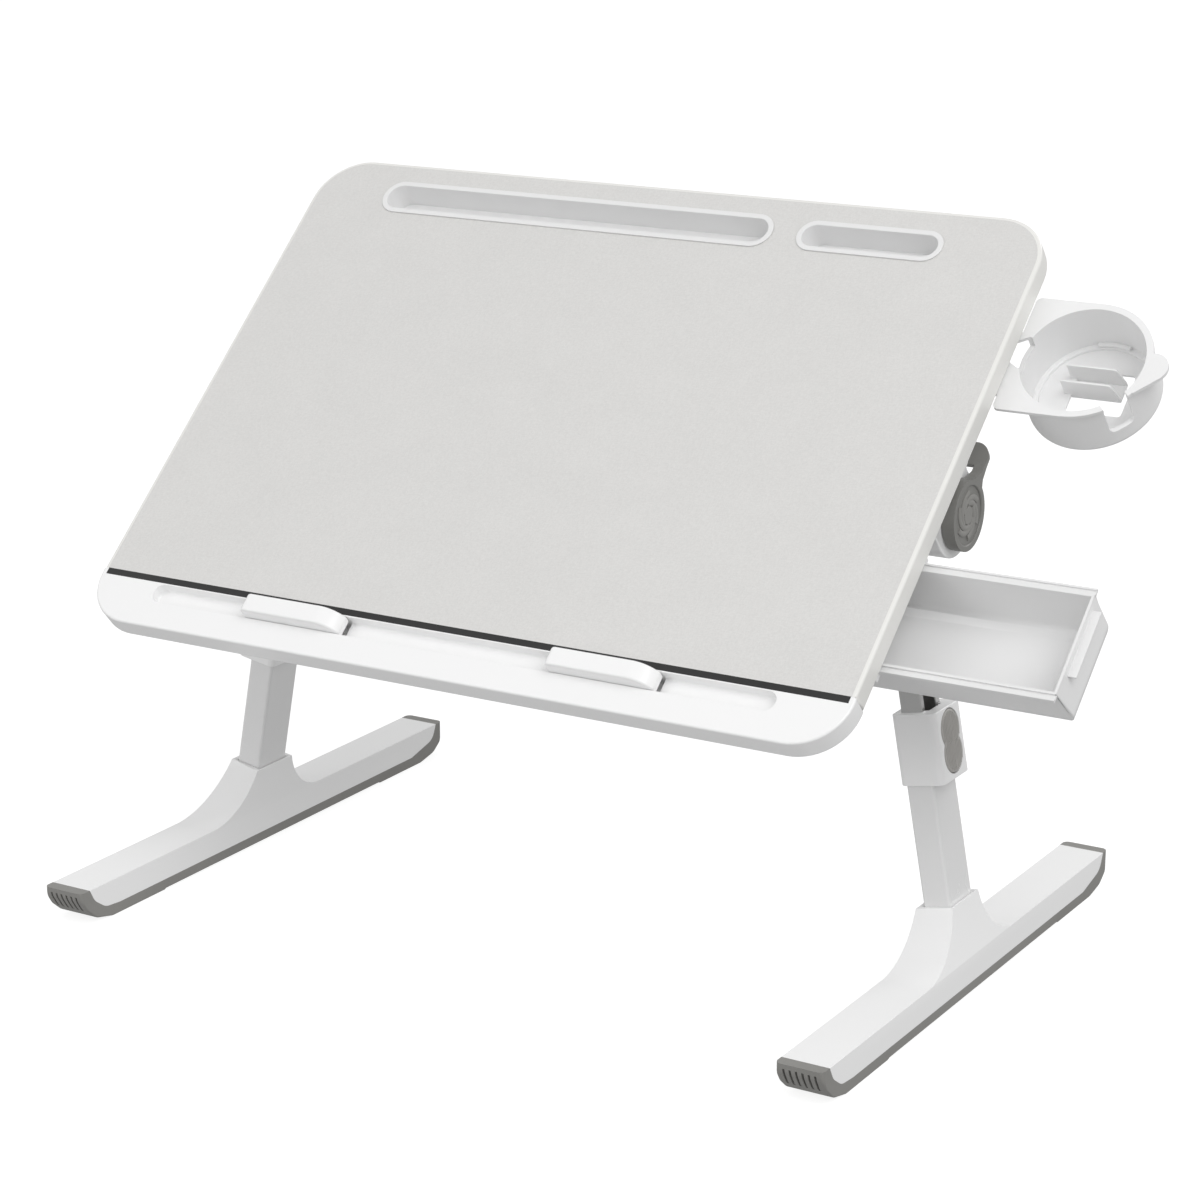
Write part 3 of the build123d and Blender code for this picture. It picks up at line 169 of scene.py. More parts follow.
@dataclass(frozen=True)
class Rod:
    """The oval section of a bent rod.

    Attributes:
        half_width: Half of its width in millimetres, square to the axis of the bend.
        half_height: Half of its height in millimetres, along that axis.
        steps: Number of steps round the bend.
        sides: Number of sides of the section.
    """

    half_width: float
    half_height: float
    steps: int
    sides: int = 10


def socket(group: bpy.types.NodeTree, name: str, way: str, kind: str, value: object = None) -> None:
    """Add one named socket to a node group.

    Args:
        group: The group.
        name: The socket's name.
        way: INPUT or OUTPUT.
        kind: Float, Vector or Color.
        value: The default of an input.
    """
    made = group.interface.new_socket(name=name, in_out=way, socket_type="NodeSocket" + kind)
    if value is not None:
        made.default_value = value


def span(low: float, high: float, to_low: object = 0.0, to_high: object = 1.0) -> dict[str, object]:
    """Return the inputs of a MapRange node, apart from its value.

    Args:
        low: The value that becomes to_low.
        high: The value that becomes to_high.
        to_low: A number or an output socket.
        to_high: A number or an output socket.

    Returns:
        The inputs by name.
    """
    return {"From Min": low, "From Max": high, "To Min": to_low, "To Max": to_high}


def noise(vector: bpy.types.NodeSocket, scale: object, detail: float, roughness: float,
          distortion: float = 0.0) -> dict[str, object]:
    """Return the inputs of a TexNoise node.

    Args:
        vector: The place that it is read at.
        scale: Waves in a metre, as a number or an output socket.
        detail: Number of finer octaves.
        roughness: Strength of each octave against the one before.
        distortion: How far the pattern is warped.

    Returns:
        The inputs by name.
    """
    return {"Vector": vector, "Scale": scale, "Detail": detail, "Roughness": roughness,
            "Distortion": distortion}


@dataclass
class Nodes:
    """A short way to add and join nodes in one tree."""

    tree: bpy.types.NodeTree

    def add(self, kind: str, inputs: Optional[dict] = None, **settings: object) -> bpy.types.Node:
        """Add a node, with its settings, and with values or links on its inputs.

        Args:
            kind: The node's type name without the ShaderNode prefix.
            inputs: Values or output sockets by input name or number.
            settings: Attributes of the node.

        Returns:
            The node.
        """
        node = self.tree.nodes.new(kind if kind.startswith("Node") else "ShaderNode" + kind)
        for key, value in settings.items():
            setattr(node, key, value)
        for key, value in (inputs or {}).items():
            if isinstance(value, bpy.types.NodeSocket):
                self.tree.links.new(value, node.inputs[key])
            else:
                node.inputs[key].default_value = value
        return node

    def mixed(self, factor: bpy.types.NodeSocket, low: object, high: object) -> bpy.types.NodeSocket:
        """Mix two colours.

        Args:
            factor: 0 for the first colour, 1 for the second one.
            low: The first colour, as a value or an output socket.
            high: The second colour, as a value or an output socket.

        Returns:
            The socket with the mixed colour.
        """
        return self.add("Mix", {0: factor, 6: low, 7: high}, data_type="RGBA").outputs[2]


def skin_group() -> bpy.types.NodeTree:
    """Return the shared group for the skin of plastics, coatings and rubber.

    Returns:
        A group that puts out the colour, the roughness and the height of a fine skin.
    """
    found = bpy.data.node_groups.get("skin")
    if found:
        return found
    group = bpy.data.node_groups.new("skin", "ShaderNodeTree")
    for name, kind, value in (
        ("Vector", "Vector", None), ("Light", "Color", (0.9, 0.9, 0.9, 1)),
        ("Shade", "Color", (0.86, 0.86, 0.86, 1)), ("Pitch", "Float", 0.4),
        ("Stretch", "Vector", (1, 1, 1)), ("Gloss Low", "Float", 0.3),
        ("Gloss High", "Float", 0.4), ("Wear", "Float", 0.1),
    ):
        socket(group, name, "INPUT", kind, value)
    for name, kind in (("Colour", "Color"), ("Roughness", "Float"), ("Height", "Float")):
        socket(group, name, "OUTPUT", kind)
    n = Nodes(group)
    given, put_out = n.add("NodeGroupInput").outputs, n.add("NodeGroupOutput").inputs
    stretched = n.add("VectorMath", {0: given["Vector"], 1: given["Stretch"]}, operation="MULTIPLY")
    per_metre = n.add("Math", {0: MM_PER_METRE, 1: given["Pitch"]}, operation="DIVIDE")
    fine = n.add("TexNoise", noise(stretched.outputs[0], per_metre.outputs[0], 3.0, 0.6))
    broad = n.add("TexNoise", noise(given["Vector"], 9.0, 4.0, 0.55))
    handled = n.add("TexNoise", noise(given["Vector"], 42.0, 6.0, 0.7, 0.4))
    worn = n.add("MapRange", {"Value": handled.outputs["Fac"], **span(0.55, 0.75)})
    wear = n.add("Math", {0: worn.outputs[0], 1: given["Wear"]}, operation="MULTIPLY")
    tone = n.add("MapRange", {"Value": broad.outputs["Fac"], **span(0.3, 0.7)})
    n.tree.links.new(n.mixed(tone.outputs[0], given["Light"], given["Shade"]), put_out["Colour"])
    gloss_span = span(0.3, 0.7, given["Gloss Low"], given["Gloss High"])
    gloss = n.add("MapRange", {"Value": broad.outputs["Fac"], **gloss_span})
    rough = n.add("Math", {0: gloss.outputs[0], 1: wear.outputs[0]}, operation="ADD", use_clamp=True)
    n.tree.links.new(rough.outputs[0], put_out["Roughness"])
    n.tree.links.new(fine.outputs["Fac"], put_out["Height"])
    return group


def linen_group() -> bpy.types.NodeTree:
    """Return the group for the board's woven look laminate.

    Returns:
        A group that puts out the raised threads and a broad cloud, from a place on the table in metres.
    """
    found = bpy.data.node_groups.get("linen")
    if found:
        return found
    group = bpy.data.node_groups.new("linen", "ShaderNodeTree")
    socket(group, "Vector", "INPUT", "Vector")
    socket(group, "Thread", "INPUT", "Float", 0.9)
    for name in ("Speckle", "Cloud"):
        socket(group, name, "OUTPUT", "Float")
    n = Nodes(group)
    given, put_out = n.add("NodeGroupInput").outputs, n.add("NodeGroupOutput").inputs
    per_metre = n.add("Math", {0: MM_PER_METRE, 1: given["Thread"]}, operation="DIVIDE")
    threads = []
    for squeeze in ((1.0, 0.28, 1.0), (0.28, 1.0, 1.0)):
        drawn = n.add("VectorMath", {0: given["Vector"], 1: squeeze}, operation="MULTIPLY")
        threads.append(n.add("TexNoise", noise(drawn.outputs[0], per_metre.outputs[0], 2.0, 0.6)))
    weave = n.add("Math", {place: thread.outputs["Fac"] for place, thread in enumerate(threads)},
                  operation="ADD")
    speck = n.add("MapRange", {"Value": weave.outputs[0], **span(0.7, 1.3)})
    cloud = n.add("TexNoise", noise(given["Vector"], 26.0, 5.0, 0.65))
    n.tree.links.new(speck.outputs[0], put_out["Speckle"])
    n.tree.links.new(cloud.outputs["Fac"], put_out["Cloud"])
    return group


def blank_material(name: str, shown: Colour) -> bpy.types.Material:
    """Return a new material with an empty node tree.

    Args:
        name: The material's name.
        shown: Its colour in a plain view.

    Returns:
        The material.
    """
    made = bpy.data.materials.new(name)
    made.use_nodes = True
    made.diffuse_color = (*shown, 1)
    made.node_tree.nodes.clear()
    return made


@dataclass(frozen=True)
class Finish:
    """A moulded, coated, rubber or metal finish.

    Attributes:
        name: The material's name.
        slot: The record's material slot, not used here.
        light: Lighter colour of the surface, in linear light.
        shade: Darker colour of the surface, in linear light.
        gloss: Lowest and highest roughness.
        pitch: Width of the skin's grain in millimetres.
        depth: Height of the grain in millimetres.
        stretch: Squeeze of the grain along the row's axes.
        wear: How much rougher a handled spot is.
        metal: How metallic the surface is.
        coat: Strength of a clear coat.
        coat_rough: Roughness of the clear coat.
    """

    name: str
    slot: str
    light: Colour
    shade: Colour
    gloss: tuple[float, float]
    pitch: float
    depth: float
    stretch: tuple[float, float, float] = (1.0, 1.0, 1.0)
    wear: float = 0.08
    metal: float = 0.0
    coat: float = 0.0
    coat_rough: float = 0.12

    def material(self) -> bpy.types.Material:
        """Return this finish's material, made once."""
        found = bpy.data.materials.get(self.name)
        if found:
            return found
        made = blank_material(self.name, self.light)
        n = Nodes(made.node_tree)
        group = n.add("Group", node_tree=skin_group())
        n.tree.links.new(n.add("TexCoord").outputs["Object"], group.inputs["Vector"])
        values = {
            "Light": (*self.light, 1), "Shade": (*self.shade, 1), "Pitch": self.pitch,
            "Stretch": self.stretch, "Gloss Low": self.gloss[0], "Gloss High": self.gloss[1],
            "Wear": self.wear,
        }
        for name, value in values.items():
            group.inputs[name].default_value = value
        skin = group.outputs
        bump = n.add("Bump", {"Height": skin["Height"], "Distance": self.depth * MM, "Strength": 1.0})
        shader = n.add("BsdfPrincipled", {
            "Base Color": skin["Colour"], "Roughness": skin["Roughness"], "Normal": bump.outputs[0],
            "Metallic": self.metal, "Coat Weight": self.coat, "Coat Roughness": self.coat_rough,
        })
        n.add("OutputMaterial", {"Surface": shader.outputs[0]})
        return made


@dataclass(frozen=True)
class LinenFinish:
    """The board's light grey laminate with a woven look.

    Attributes:
        name: The material's name.
        slot: The record's material slot, not used here.
        light: Colour of the raised threads, in linear light.
        shade: Colour between the threads, in linear light.
        thread: Width of a thread in millimetres.
        depth: Height of the weave in millimetres.
        relief: How strongly the weave shows in the light.
        cloud: Darkest and brightest broad patch, against the mean.
        gloss: Lowest and highest roughness.
    """

    name: str = "linen_laminate"
    slot: str = "board_laminate"
    light: Colour = (0.722, 0.716, 0.702)
    shade: Colour = (0.658, 0.651, 0.638)
    thread: float = 0.8
    depth: float = 0.03
    relief: float = 0.8
    cloud: tuple[float, float] = (0.985, 1.01)
    gloss: tuple[float, float] = (0.42, 0.52)

    def material(self) -> bpy.types.Material:
        """Return this finish's material, made once."""
        found = bpy.data.materials.get(self.name)
        if found:
            return found
        made = blank_material(self.name, self.light)
        n = Nodes(made.node_tree)
        place = n.add("TexCoord").outputs["Object"]
        flat = n.add("Mapping", {"Vector": place, "Rotation": (-DESK.tilt, 0, 0)})
        group = n.add("Group", {"Vector": flat.outputs[0]}, node_tree=linen_group())
        group.inputs["Thread"].default_value = self.thread
        linen = group.outputs
        weave = n.mixed(linen["Speckle"], (*self.shade, 1), (*self.light, 1))
        patch = n.add("MapRange", {"Value": linen["Cloud"], **span(0.3, 0.7, *self.cloud)})
        colour = n.add("VectorMath", {0: weave, 1: patch.outputs[0]}, operation="MULTIPLY")
        rough = n.add("MapRange", {"Value": linen["Cloud"], **span(0.3, 0.7, *self.gloss)})
        bump = n.add("Bump", {"Height": linen["Speckle"], "Distance": self.depth * MM,
                              "Strength": self.relief})
        shader = n.add("BsdfPrincipled", {
            "Base Color": colour.outputs[0], "Roughness": rough.outputs[0], "Normal": bump.outputs[0],
        })
        n.add("OutputMaterial", {"Surface": shader.outputs[0]})
        return made


WHITE = Finish(
    "white_moulding", "white_moulding", light=(0.85, 0.85, 0.85), shade=(0.82, 0.82, 0.82),
    gloss=(0.3, 0.38), pitch=0.35, depth=0.0015)
WHITE_TRAY = Finish(
    "white_tray_moulding", "white_moulding", light=(0.82, 0.82, 0.82), shade=(0.80, 0.80, 0.80),
    gloss=(0.36, 0.44), pitch=0.3, depth=0.003)
CUP = Finish(
    "white_cup_moulding", "white_moulding", light=(0.875, 0.875, 0.875), shade=(0.85, 0.85, 0.85),
    gloss=(0.32, 0.4), pitch=0.3, depth=0.002)
CREAM = Finish(
    "cream_band", "band_cream", light=(0.84, 0.835, 0.81), shade=(0.81, 0.805, 0.78),
    gloss=(0.3, 0.38), pitch=0.5, depth=0.002)
STRIP = Finish(
    "black_strip", "black_rubber", light=(0.026, 0.026, 0.026), shade=(0.018, 0.018, 0.018),
    gloss=(0.55, 0.7), pitch=0.5, depth=0.02)
SOLE = Finish(
    "grey_sole", "grey_rubber", light=(0.275, 0.27, 0.256), shade=(0.24, 0.236, 0.224),
    gloss=(0.5, 0.62), pitch=0.45, depth=0.012)
GREY = Finish(
    "grey_moulding", "grey_moulding", light=(0.35, 0.344, 0.327), shade=(0.32, 0.314, 0.299),
    gloss=(0.38, 0.48), pitch=0.35, depth=0.006)
LEVER = Finish(
    "lever_moulding", "grey_moulding", light=(0.225, 0.222, 0.21), shade=(0.2, 0.198, 0.187),
    gloss=(0.34, 0.42), pitch=0.35, depth=0.006)
# The hub and vanes are moulded in the lever's grey but coloured lighter than the lever: a painted
# highlight on the raised swirl.
VANE_HIGHLIGHT = Finish(
    "lever_vane_moulding", "grey_moulding", light=(0.27, 0.266, 0.252), shade=(0.245, 0.241, 0.229),
    gloss=(0.34, 0.42), pitch=0.35, depth=0.006)
COATED = Finish(
    "white_coated_tube", "white_tube", light=(0.82, 0.82, 0.82), shade=(0.79, 0.79, 0.79),
    gloss=(0.24, 0.28), pitch=1.6, depth=0.003, wear=0.01, coat=0.3)
TUBE = Finish(
    "satin_tube", "bare_tube", light=(0.54, 0.54, 0.535), shade=(0.48, 0.48, 0.475),
    gloss=(0.3, 0.4), pitch=0.3, depth=0.002, stretch=(1.0, 1.0, 0.05), metal=1.0)
STEEL = Finish(
    "zinc_steel", "steel", light=(0.62, 0.62, 0.61), shade=(0.52, 0.52, 0.52),
    gloss=(0.22, 0.34), pitch=0.3, depth=0.003, metal=1.0)
LINEN = LinenFinish()


def add_piece(bm: bmesh.types.BMesh, name: str, body: str, finish: Finish,
              replaces: Sequence[str] = ()) -> None:
    """Make an object of a finished bmesh, dress it and let it ride on its body.

    Args:
        bm: The mesh in row metres, freed here.
        name: The piece's name.
        body: The CAD body that it rides on.
        finish: Its finish.
        replaces: The CAD nodes that it stands for.
    """
    mesh = bpy.data.meshes.new(name)
    bm.to_mesh(mesh)
    bm.free()
    mesh.polygons.foreach_set("use_smooth", [True] * len(mesh.polygons))
    mesh.set_sharp_from_angle(angle=math.radians(SHARP_ANGLE))
    obj = bpy.data.objects.new(name, mesh)
    bpy.context.scene.collection.objects.link(obj)
    mesh.materials.append(finish.material())
    weigh = obj.modifiers.new("weighted normals", "WEIGHTED_NORMAL")
    weigh.keep_sharp = True
    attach(obj, body)
    if replaces:
        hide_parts(*replaces)
    log.info("%s: %d faces on %s", name, len(mesh.polygons), body)


def dress_node(node: str, finish: Finish | LinenFinish) -> None:
    """Give a CAD node that stays in view its finish.

    Args:
        node: The node's name.
        finish: Its finish.
    """
    obj = frame["nodes"][node]
    obj.data.materials.clear()
    obj.data.materials.append(finish.material())
    log.info("%s: dressed in %s", node, finish.name)


def body_of_node(node: str) -> str:
    """Return the name of the body that a CAD node belongs to.

    Args:
        node: The node's name.

    Returns:
        The body's name.
    """
    groups = frame["record"]["behaviour"]["bodies"]
    return next(body for body, members in groups.items() if node in members)


def node_copy(node: str, flat: float) -> bmesh.types.BMesh:
    """Return a merged copy of a CAD node's mesh with its flat faces made whole.

    Args:
        node: The node's name.
        flat: Bend up to which neighbouring faces are made one, in degrees.

    Returns:
        The copy, in row metres.
    """
    bm = bmesh.new()
    bm.from_mesh(frame["nodes"][node].data)
    bmesh.ops.remove_doubles(bm, verts=bm.verts, dist=MERGE_DISTANCE)
    bmesh.ops.dissolve_limit(bm, angle_limit=math.radians(flat), verts=bm.verts, edges=bm.edges)
    return bm


def joined_groups(edges: Iterable[bmesh.types.BMEdge]) -> list[list[bmesh.types.BMEdge]]:
    """Return edges in groups that hang together, so that each is rounded by itself.

    The order follows the mesh alone, so each run gives the same groups.

    Args:
        edges: The edges.

    Returns:
        The groups, the longest first.
    """
    left = dict.fromkeys(edges)
    groups = []
    while left:
        group, front = [], [left.popitem()[0]]
        while front:
            edge = front.pop()
            group.append(edge)
            for vert in edge.verts:
                for other in vert.link_edges:
                    if other in left:
                        del left[other]
                        front.append(other)
        groups.append(group)
    return sorted(groups, key=lambda group: sum(edge.calc_length() for edge in group), reverse=True)


def round_edges(bm: bmesh.types.BMesh, rounding: Rounding) -> None:
    """Round the outer edges that a rounding picks.

    Args:
        bm: The mesh, in row metres.
        rounding: The pass to make.
    """
    to_table = DESK.table().inverted()
    least = math.radians(rounding.angle)
    picked = []
    for edge in bm.edges:
        if len(edge.link_faces) != 2 or not edge.is_convex or edge.calc_face_angle(0.0) < least:
            continue
        middle = to_table @ ((edge.verts[0].co + edge.verts[1].co) / 2)
        if rounding.test is None or rounding.test(middle, edge):
            picked.append(edge)
    for group in joined_groups(picked):
        whole = [edge for edge in group if edge.is_valid]
        bmesh.ops.bevel(
            bm, geom=whole, offset=rounding.width * MM, offset_type="OFFSET",
            segments=rounding.segments, profile=0.5, affect="EDGES", clamp_overlap=True,
            material=-1, loop_slide=True)
    bmesh.ops.remove_doubles(bm, verts=bm.verts, dist=ROUNDED_MERGE_DISTANCE)


def soften_node(node: str, finish: Finish, roundings: Sequence[Rounding], name: str,
                flat: float = FLAT_ANGLE) -> None:
    """Replace a CAD node by the same shape with its edges rounded as moulded.

    Args:
        node: The node's name.
        finish: Its finish.
        roundings: The passes, first the widest.
        name: The new piece's name.
        flat: Bend up to which neighbouring faces are made one, in degrees.
    """
    bm = node_copy(node, flat)
    for rounding in roundings:
        round_edges(bm, rounding)
    add_piece(bm, name, body_of_node(node), finish, (node,))


def settle(bm: bmesh.types.BMesh, place: Matrix) -> None:
    """Move a mesh made in a piece's own millimetres into the row, with its faces outward.

    Args:
        bm: The mesh.
        place: The matrix from its places to the row.
    """
    bmesh.ops.transform(bm, matrix=place, verts=bm.verts)
    bmesh.ops.recalc_face_normals(bm, faces=bm.faces)


def bent_rod(bm: bmesh.types.BMesh, start: Vector, centre: Vector, turn: float, rod: Rod) -> None:
    """Add a rod with an oval section, bent round an axis along its third direction.

    Args:
        bm: The mesh to add to, in millimetres.
        start: The middle of the first end.
        centre: A point on the axis of the bend, level with the start.
        turn: How far the rod is bent, in degrees.
        rod: Its section.
    """
    out = (start - centre).normalized()
    way = out.cross(UP)
    end = Matrix((
        (out.x * rod.half_width, UP.x * rod.half_height, way.x, start.x),
        (out.y * rod.half_width, UP.y * rod.half_height, way.y, start.y),
        (out.z * rod.half_width, UP.z * rod.half_height, way.z, start.z),
        (0, 0, 0, 1),
    ))
    made = bmesh.ops.create_circle(bm, cap_ends=True, segments=rod.sides, radius=1.0, matrix=end)
    face = made["verts"][0].link_faces[0]
    bmesh.ops.spin(
        bm, geom=[face, *face.edges, *face.verts], cent=centre, axis=UP,
        angle=math.radians(turn), steps=rod.steps, use_merge=False, use_duplicate=False)


@dataclass
class Tabletop:
    """The board with its band, the front rail and the grip strip.

    Attributes:
        half_width: Half of the board's width.
        depth: From the rail's front edge to the board's rear edge.
        rear_r: Radius of the rear corners.
        rail_corner_r: Radius of the rail's front corners.
        reach: How far inside the outline an edge may lie and still belong to it.
        corner_reach: The same at the rail's front corners.
        apron_front: The apron's upright front corners lie in front of this.
        apron_span: Lowest and highest middle of those corners.
        band_edges: Rounding of the band's outline.
        apron_corners: Rounding of the apron's upright front corners.
        rail_outline: Rounding of the rail's outline.
        rail_edges: Rounding of the rail's other edges.
    """

    half_width: float = 300.0
    depth: float = 431.6
    rear_r: float = 39.0
    rail_corner_r: float = 38.0
    reach: float = 1.0
    corner_reach: float = 1.5
    apron_front: float = 25.0
    apron_span: tuple[float, float] = (-20.5, -17.5)
    band_edges: Rounding = Rounding(2.2, 4, 60)
    apron_corners: Rounding = Rounding(9.0, 6, 80)
    rail_outline: Rounding = Rounding(1.8, 4, 50)
    rail_edges: Rounding = Rounding(0.35, 2, 50)

    def on_outside(self, place: Vector, edge: bmesh.types.BMEdge) -> bool:
        """Return whether an edge of the band lies on its outer outline.

        Args:
            place: The edge's middle on the table.
            edge: The edge, not used here.

        Returns:
            Whether it does.
        """
        across = abs(place.x) - (self.half_width - self.rear_r)
        back = place.y - (self.depth - self.rear_r)
        if across > 0 and back > 0:
            return math.hypot(across, back) > self.rear_r - self.reach
        return abs(place.x) > self.half_width - self.reach or place.y > self.depth - self.reach

    def on_apron_corner(self, place: Vector, edge: bmesh.types.BMEdge) -> bool:
        """Return whether an edge is an upright front corner of the rail's apron.

        Args:
            place: The edge's middle on the table.
            edge: The edge, not used here.

        Returns:
            Whether it is.
        """
        low, high = self.apron_span
        return place.y < self.apron_front and low < place.z < high

    def on_rail_front(self, place: Vector, edge: bmesh.types.BMEdge) -> bool:
        """Return whether an edge lies on the rail's outer outline.

        Args:
            place: The edge's middle on the table.
            edge: The edge, not used here.

        Returns:
            Whether it does.
        """
        across = abs(place.x) - (self.half_width - self.rail_corner_r)
        ahead = self.rail_corner_r - place.y
        if across > 0 and ahead > 0:
            return math.hypot(across, ahead) > self.rail_corner_r - self.corner_reach
        return place.y < self.reach or abs(place.x) > self.half_width - self.reach

    def build(self) -> None:
        """Build the board, the band, the rail and the strip."""
        dress_node("desk_board", LINEN)
        band = [replace(self.band_edges, test=self.on_outside)]
        soften_node("edge_band", CREAM, band, "board_edging")
        rail = [replace(self.apron_corners, test=self.on_apron_corner),
                replace(self.rail_outline, test=self.on_rail_front), self.rail_edges]
        soften_node("front_rail", WHITE, rail, "rail_moulding")
        dress_node("grip_strip", STRIP)


@dataclass
class Stoppers:
    """The two bars that stand up out of the groove.

    Attributes:
        edges: Rounding of their edges.
    """

    edges: Rounding = Rounding(1.4, 3, 40)

    def build(self) -> None:
        """Build both bars."""
        for word in ("left", "right"):
            soften_node(f"stopper_{word}", WHITE, [self.edges], f"stopper_bar_{word}")


@dataclass
class PenTrays:
    """The two recessed trays and their covers under the board.

    Attributes:
        tray_edges: Rounding of the trays' edges.
        cover_edges: Rounding of the covers' edges.
    """

    tray_edges: Rounding = Rounding(0.7, 3, 50)
    cover_edges: Rounding = Rounding(1.0, 3, 50)

    def build(self) -> None:
        """Build the trays and the covers."""
        for word in ("long", "short"):
            soften_node(f"pen_tray_{word}", WHITE_TRAY, [self.tray_edges], f"tray_{word}")
            soften_node(f"tray_cover_{word}", WHITE, [self.cover_edges], f"cover_box_{word}")


@dataclass
class SideDrawer:
    """The drawer and its runners.

    Attributes:
        end_u: From here on the walls belong to the drawer's free end.
        rim_n: The free end's corners lie below this.
        wall_v: The long walls lie in front of the first and behind the second of these.
        slope: Largest share of a corner's way that may run across the row.
        end_corners: Rounding of the free end's corners.
        edges: Rounding of the other edges.
    """

    end_u: float = 411.5
    rim_n: float = -24.0
    wall_v: tuple[float, float] = (86.0, 145.0)
    slope: float = 0.6
    end_corners: Rounding = Rounding(1.1, 3, 30)
    edges: Rounding = Rounding(0.35, 2, 60)

    def on_end_corner(self, place: Vector, edge: bmesh.types.BMEdge) -> bool:
        """Return whether an edge is a corner between the free end and the long walls.

        Args:
            place: The edge's middle on the table.
            edge: The edge.

        Returns:
            Whether it is.
        """
        across = abs((edge.verts[1].co - edge.verts[0].co).normalized().x)
        by_wall = place.y < self.wall_v[0] or place.y > self.wall_v[1]
        return place.x > self.end_u and place.z < self.rim_n and across < self.slope and by_wall

    def build(self) -> None:
        """Build the drawer and the runners."""
        tray = [replace(self.end_corners, test=self.on_end_corner), self.edges]
        soften_node("drawer", WHITE_TRAY, tray, "drawer_tray")
        for word in ("front", "rear"):
            dress_node(f"runner_{word}", WHITE)


@dataclass
class CupHolder:
    """The cup holder and its guide.

    Attributes:
        well: The well's middle on the table.
        well_r: Radius of the well's inside.
        floor_n: Height of the well's floor.
        step_width: How far the step round the floor reaches inwards.
        step_height: Height of that step.
        step_round: Rounding of the step's edge.
        step_count: Number of strips round the step.
        step_merge: Points of the step that are nearer than this become one.
        catch_from: Where the catch starts, in degrees round the well.
        catch_turn: How far it runs round the well, in degrees.
        catch_in: How far its middle is inside the well's wall.
        catch_height: Height of its middle above the floor.
        catch_rod: Its section.
        holder_edges: Rounding of the holder's edges.
        guide_edges: Rounding of the guide's edges.
    """

    well: tuple[float, float] = (347.6, 332.6)
    well_r: float = 42.7
    floor_n: float = -58.0
    step_width: float = 3.4
    step_height: float = 2.4
    step_round: float = 1.2
    step_count: int = 96
    step_merge: float = 1e-4
    catch_from: float = 72.0
    catch_turn: float = 33.0
    catch_in: float = 1.6
    catch_height: float = 3.9
    catch_rod: Rod = Rod(1.8, 1.1, 14)
    holder_edges: Rounding = Rounding(0.5, 2, 40)
    guide_edges: Rounding = Rounding(0.8, 2, 50)

    def step_round_floor(self) -> None:
        """Build the step that runs round the well's floor, with the catch on its far side."""
        bm = bmesh.new()
        axis = Vector((*self.well, self.floor_n))
        bmesh.ops.create_grid(bm, x_segments=1, y_segments=1, size=0.5)
        bmesh.ops.scale(bm, vec=Vector((self.step_width, self.step_height, 1.0)), verts=bm.verts)
        bmesh.ops.rotate(bm, matrix=Matrix.Rotation(math.pi / 2, 3, "X"), verts=bm.verts)
        middle = Vector((self.well_r - self.step_width / 2, 0, self.step_height / 2))
        bmesh.ops.translate(bm, vec=axis + middle, verts=bm.verts)
        corner = max(bm.verts, key=lambda vert: vert.co.z - vert.co.x)
        bmesh.ops.bevel(bm, geom=[corner], offset=self.step_round, segments=3, profile=0.5,
                        affect="VERTICES", material=-1)
        bmesh.ops.spin(
            bm, geom=[*bm.faces, *bm.edges, *bm.verts], cent=axis, axis=UP, angle=math.tau,
            steps=self.step_count, use_merge=True, use_duplicate=False)
        bmesh.ops.remove_doubles(bm, verts=bm.verts, dist=self.step_merge)
        level = axis + UP * self.catch_height
        turn = Matrix.Rotation(math.radians(self.catch_from), 3, "Z")
        start = level + turn @ Vector((self.well_r - self.catch_in, 0, 0))
        bent_rod(bm, start, level, self.catch_turn, self.catch_rod)
        settle(bm, DESK.table())
        add_piece(bm, "well_step", body_of_node("cup_holder"), CUP)

    def build(self) -> None:
        """Build the holder and the guide."""
        self.step_round_floor()
        soften_node("cup_holder", CUP, [self.holder_edges], "cup_ring")
        soften_node("cup_guide", WHITE, [self.guide_edges], "cup_channel")


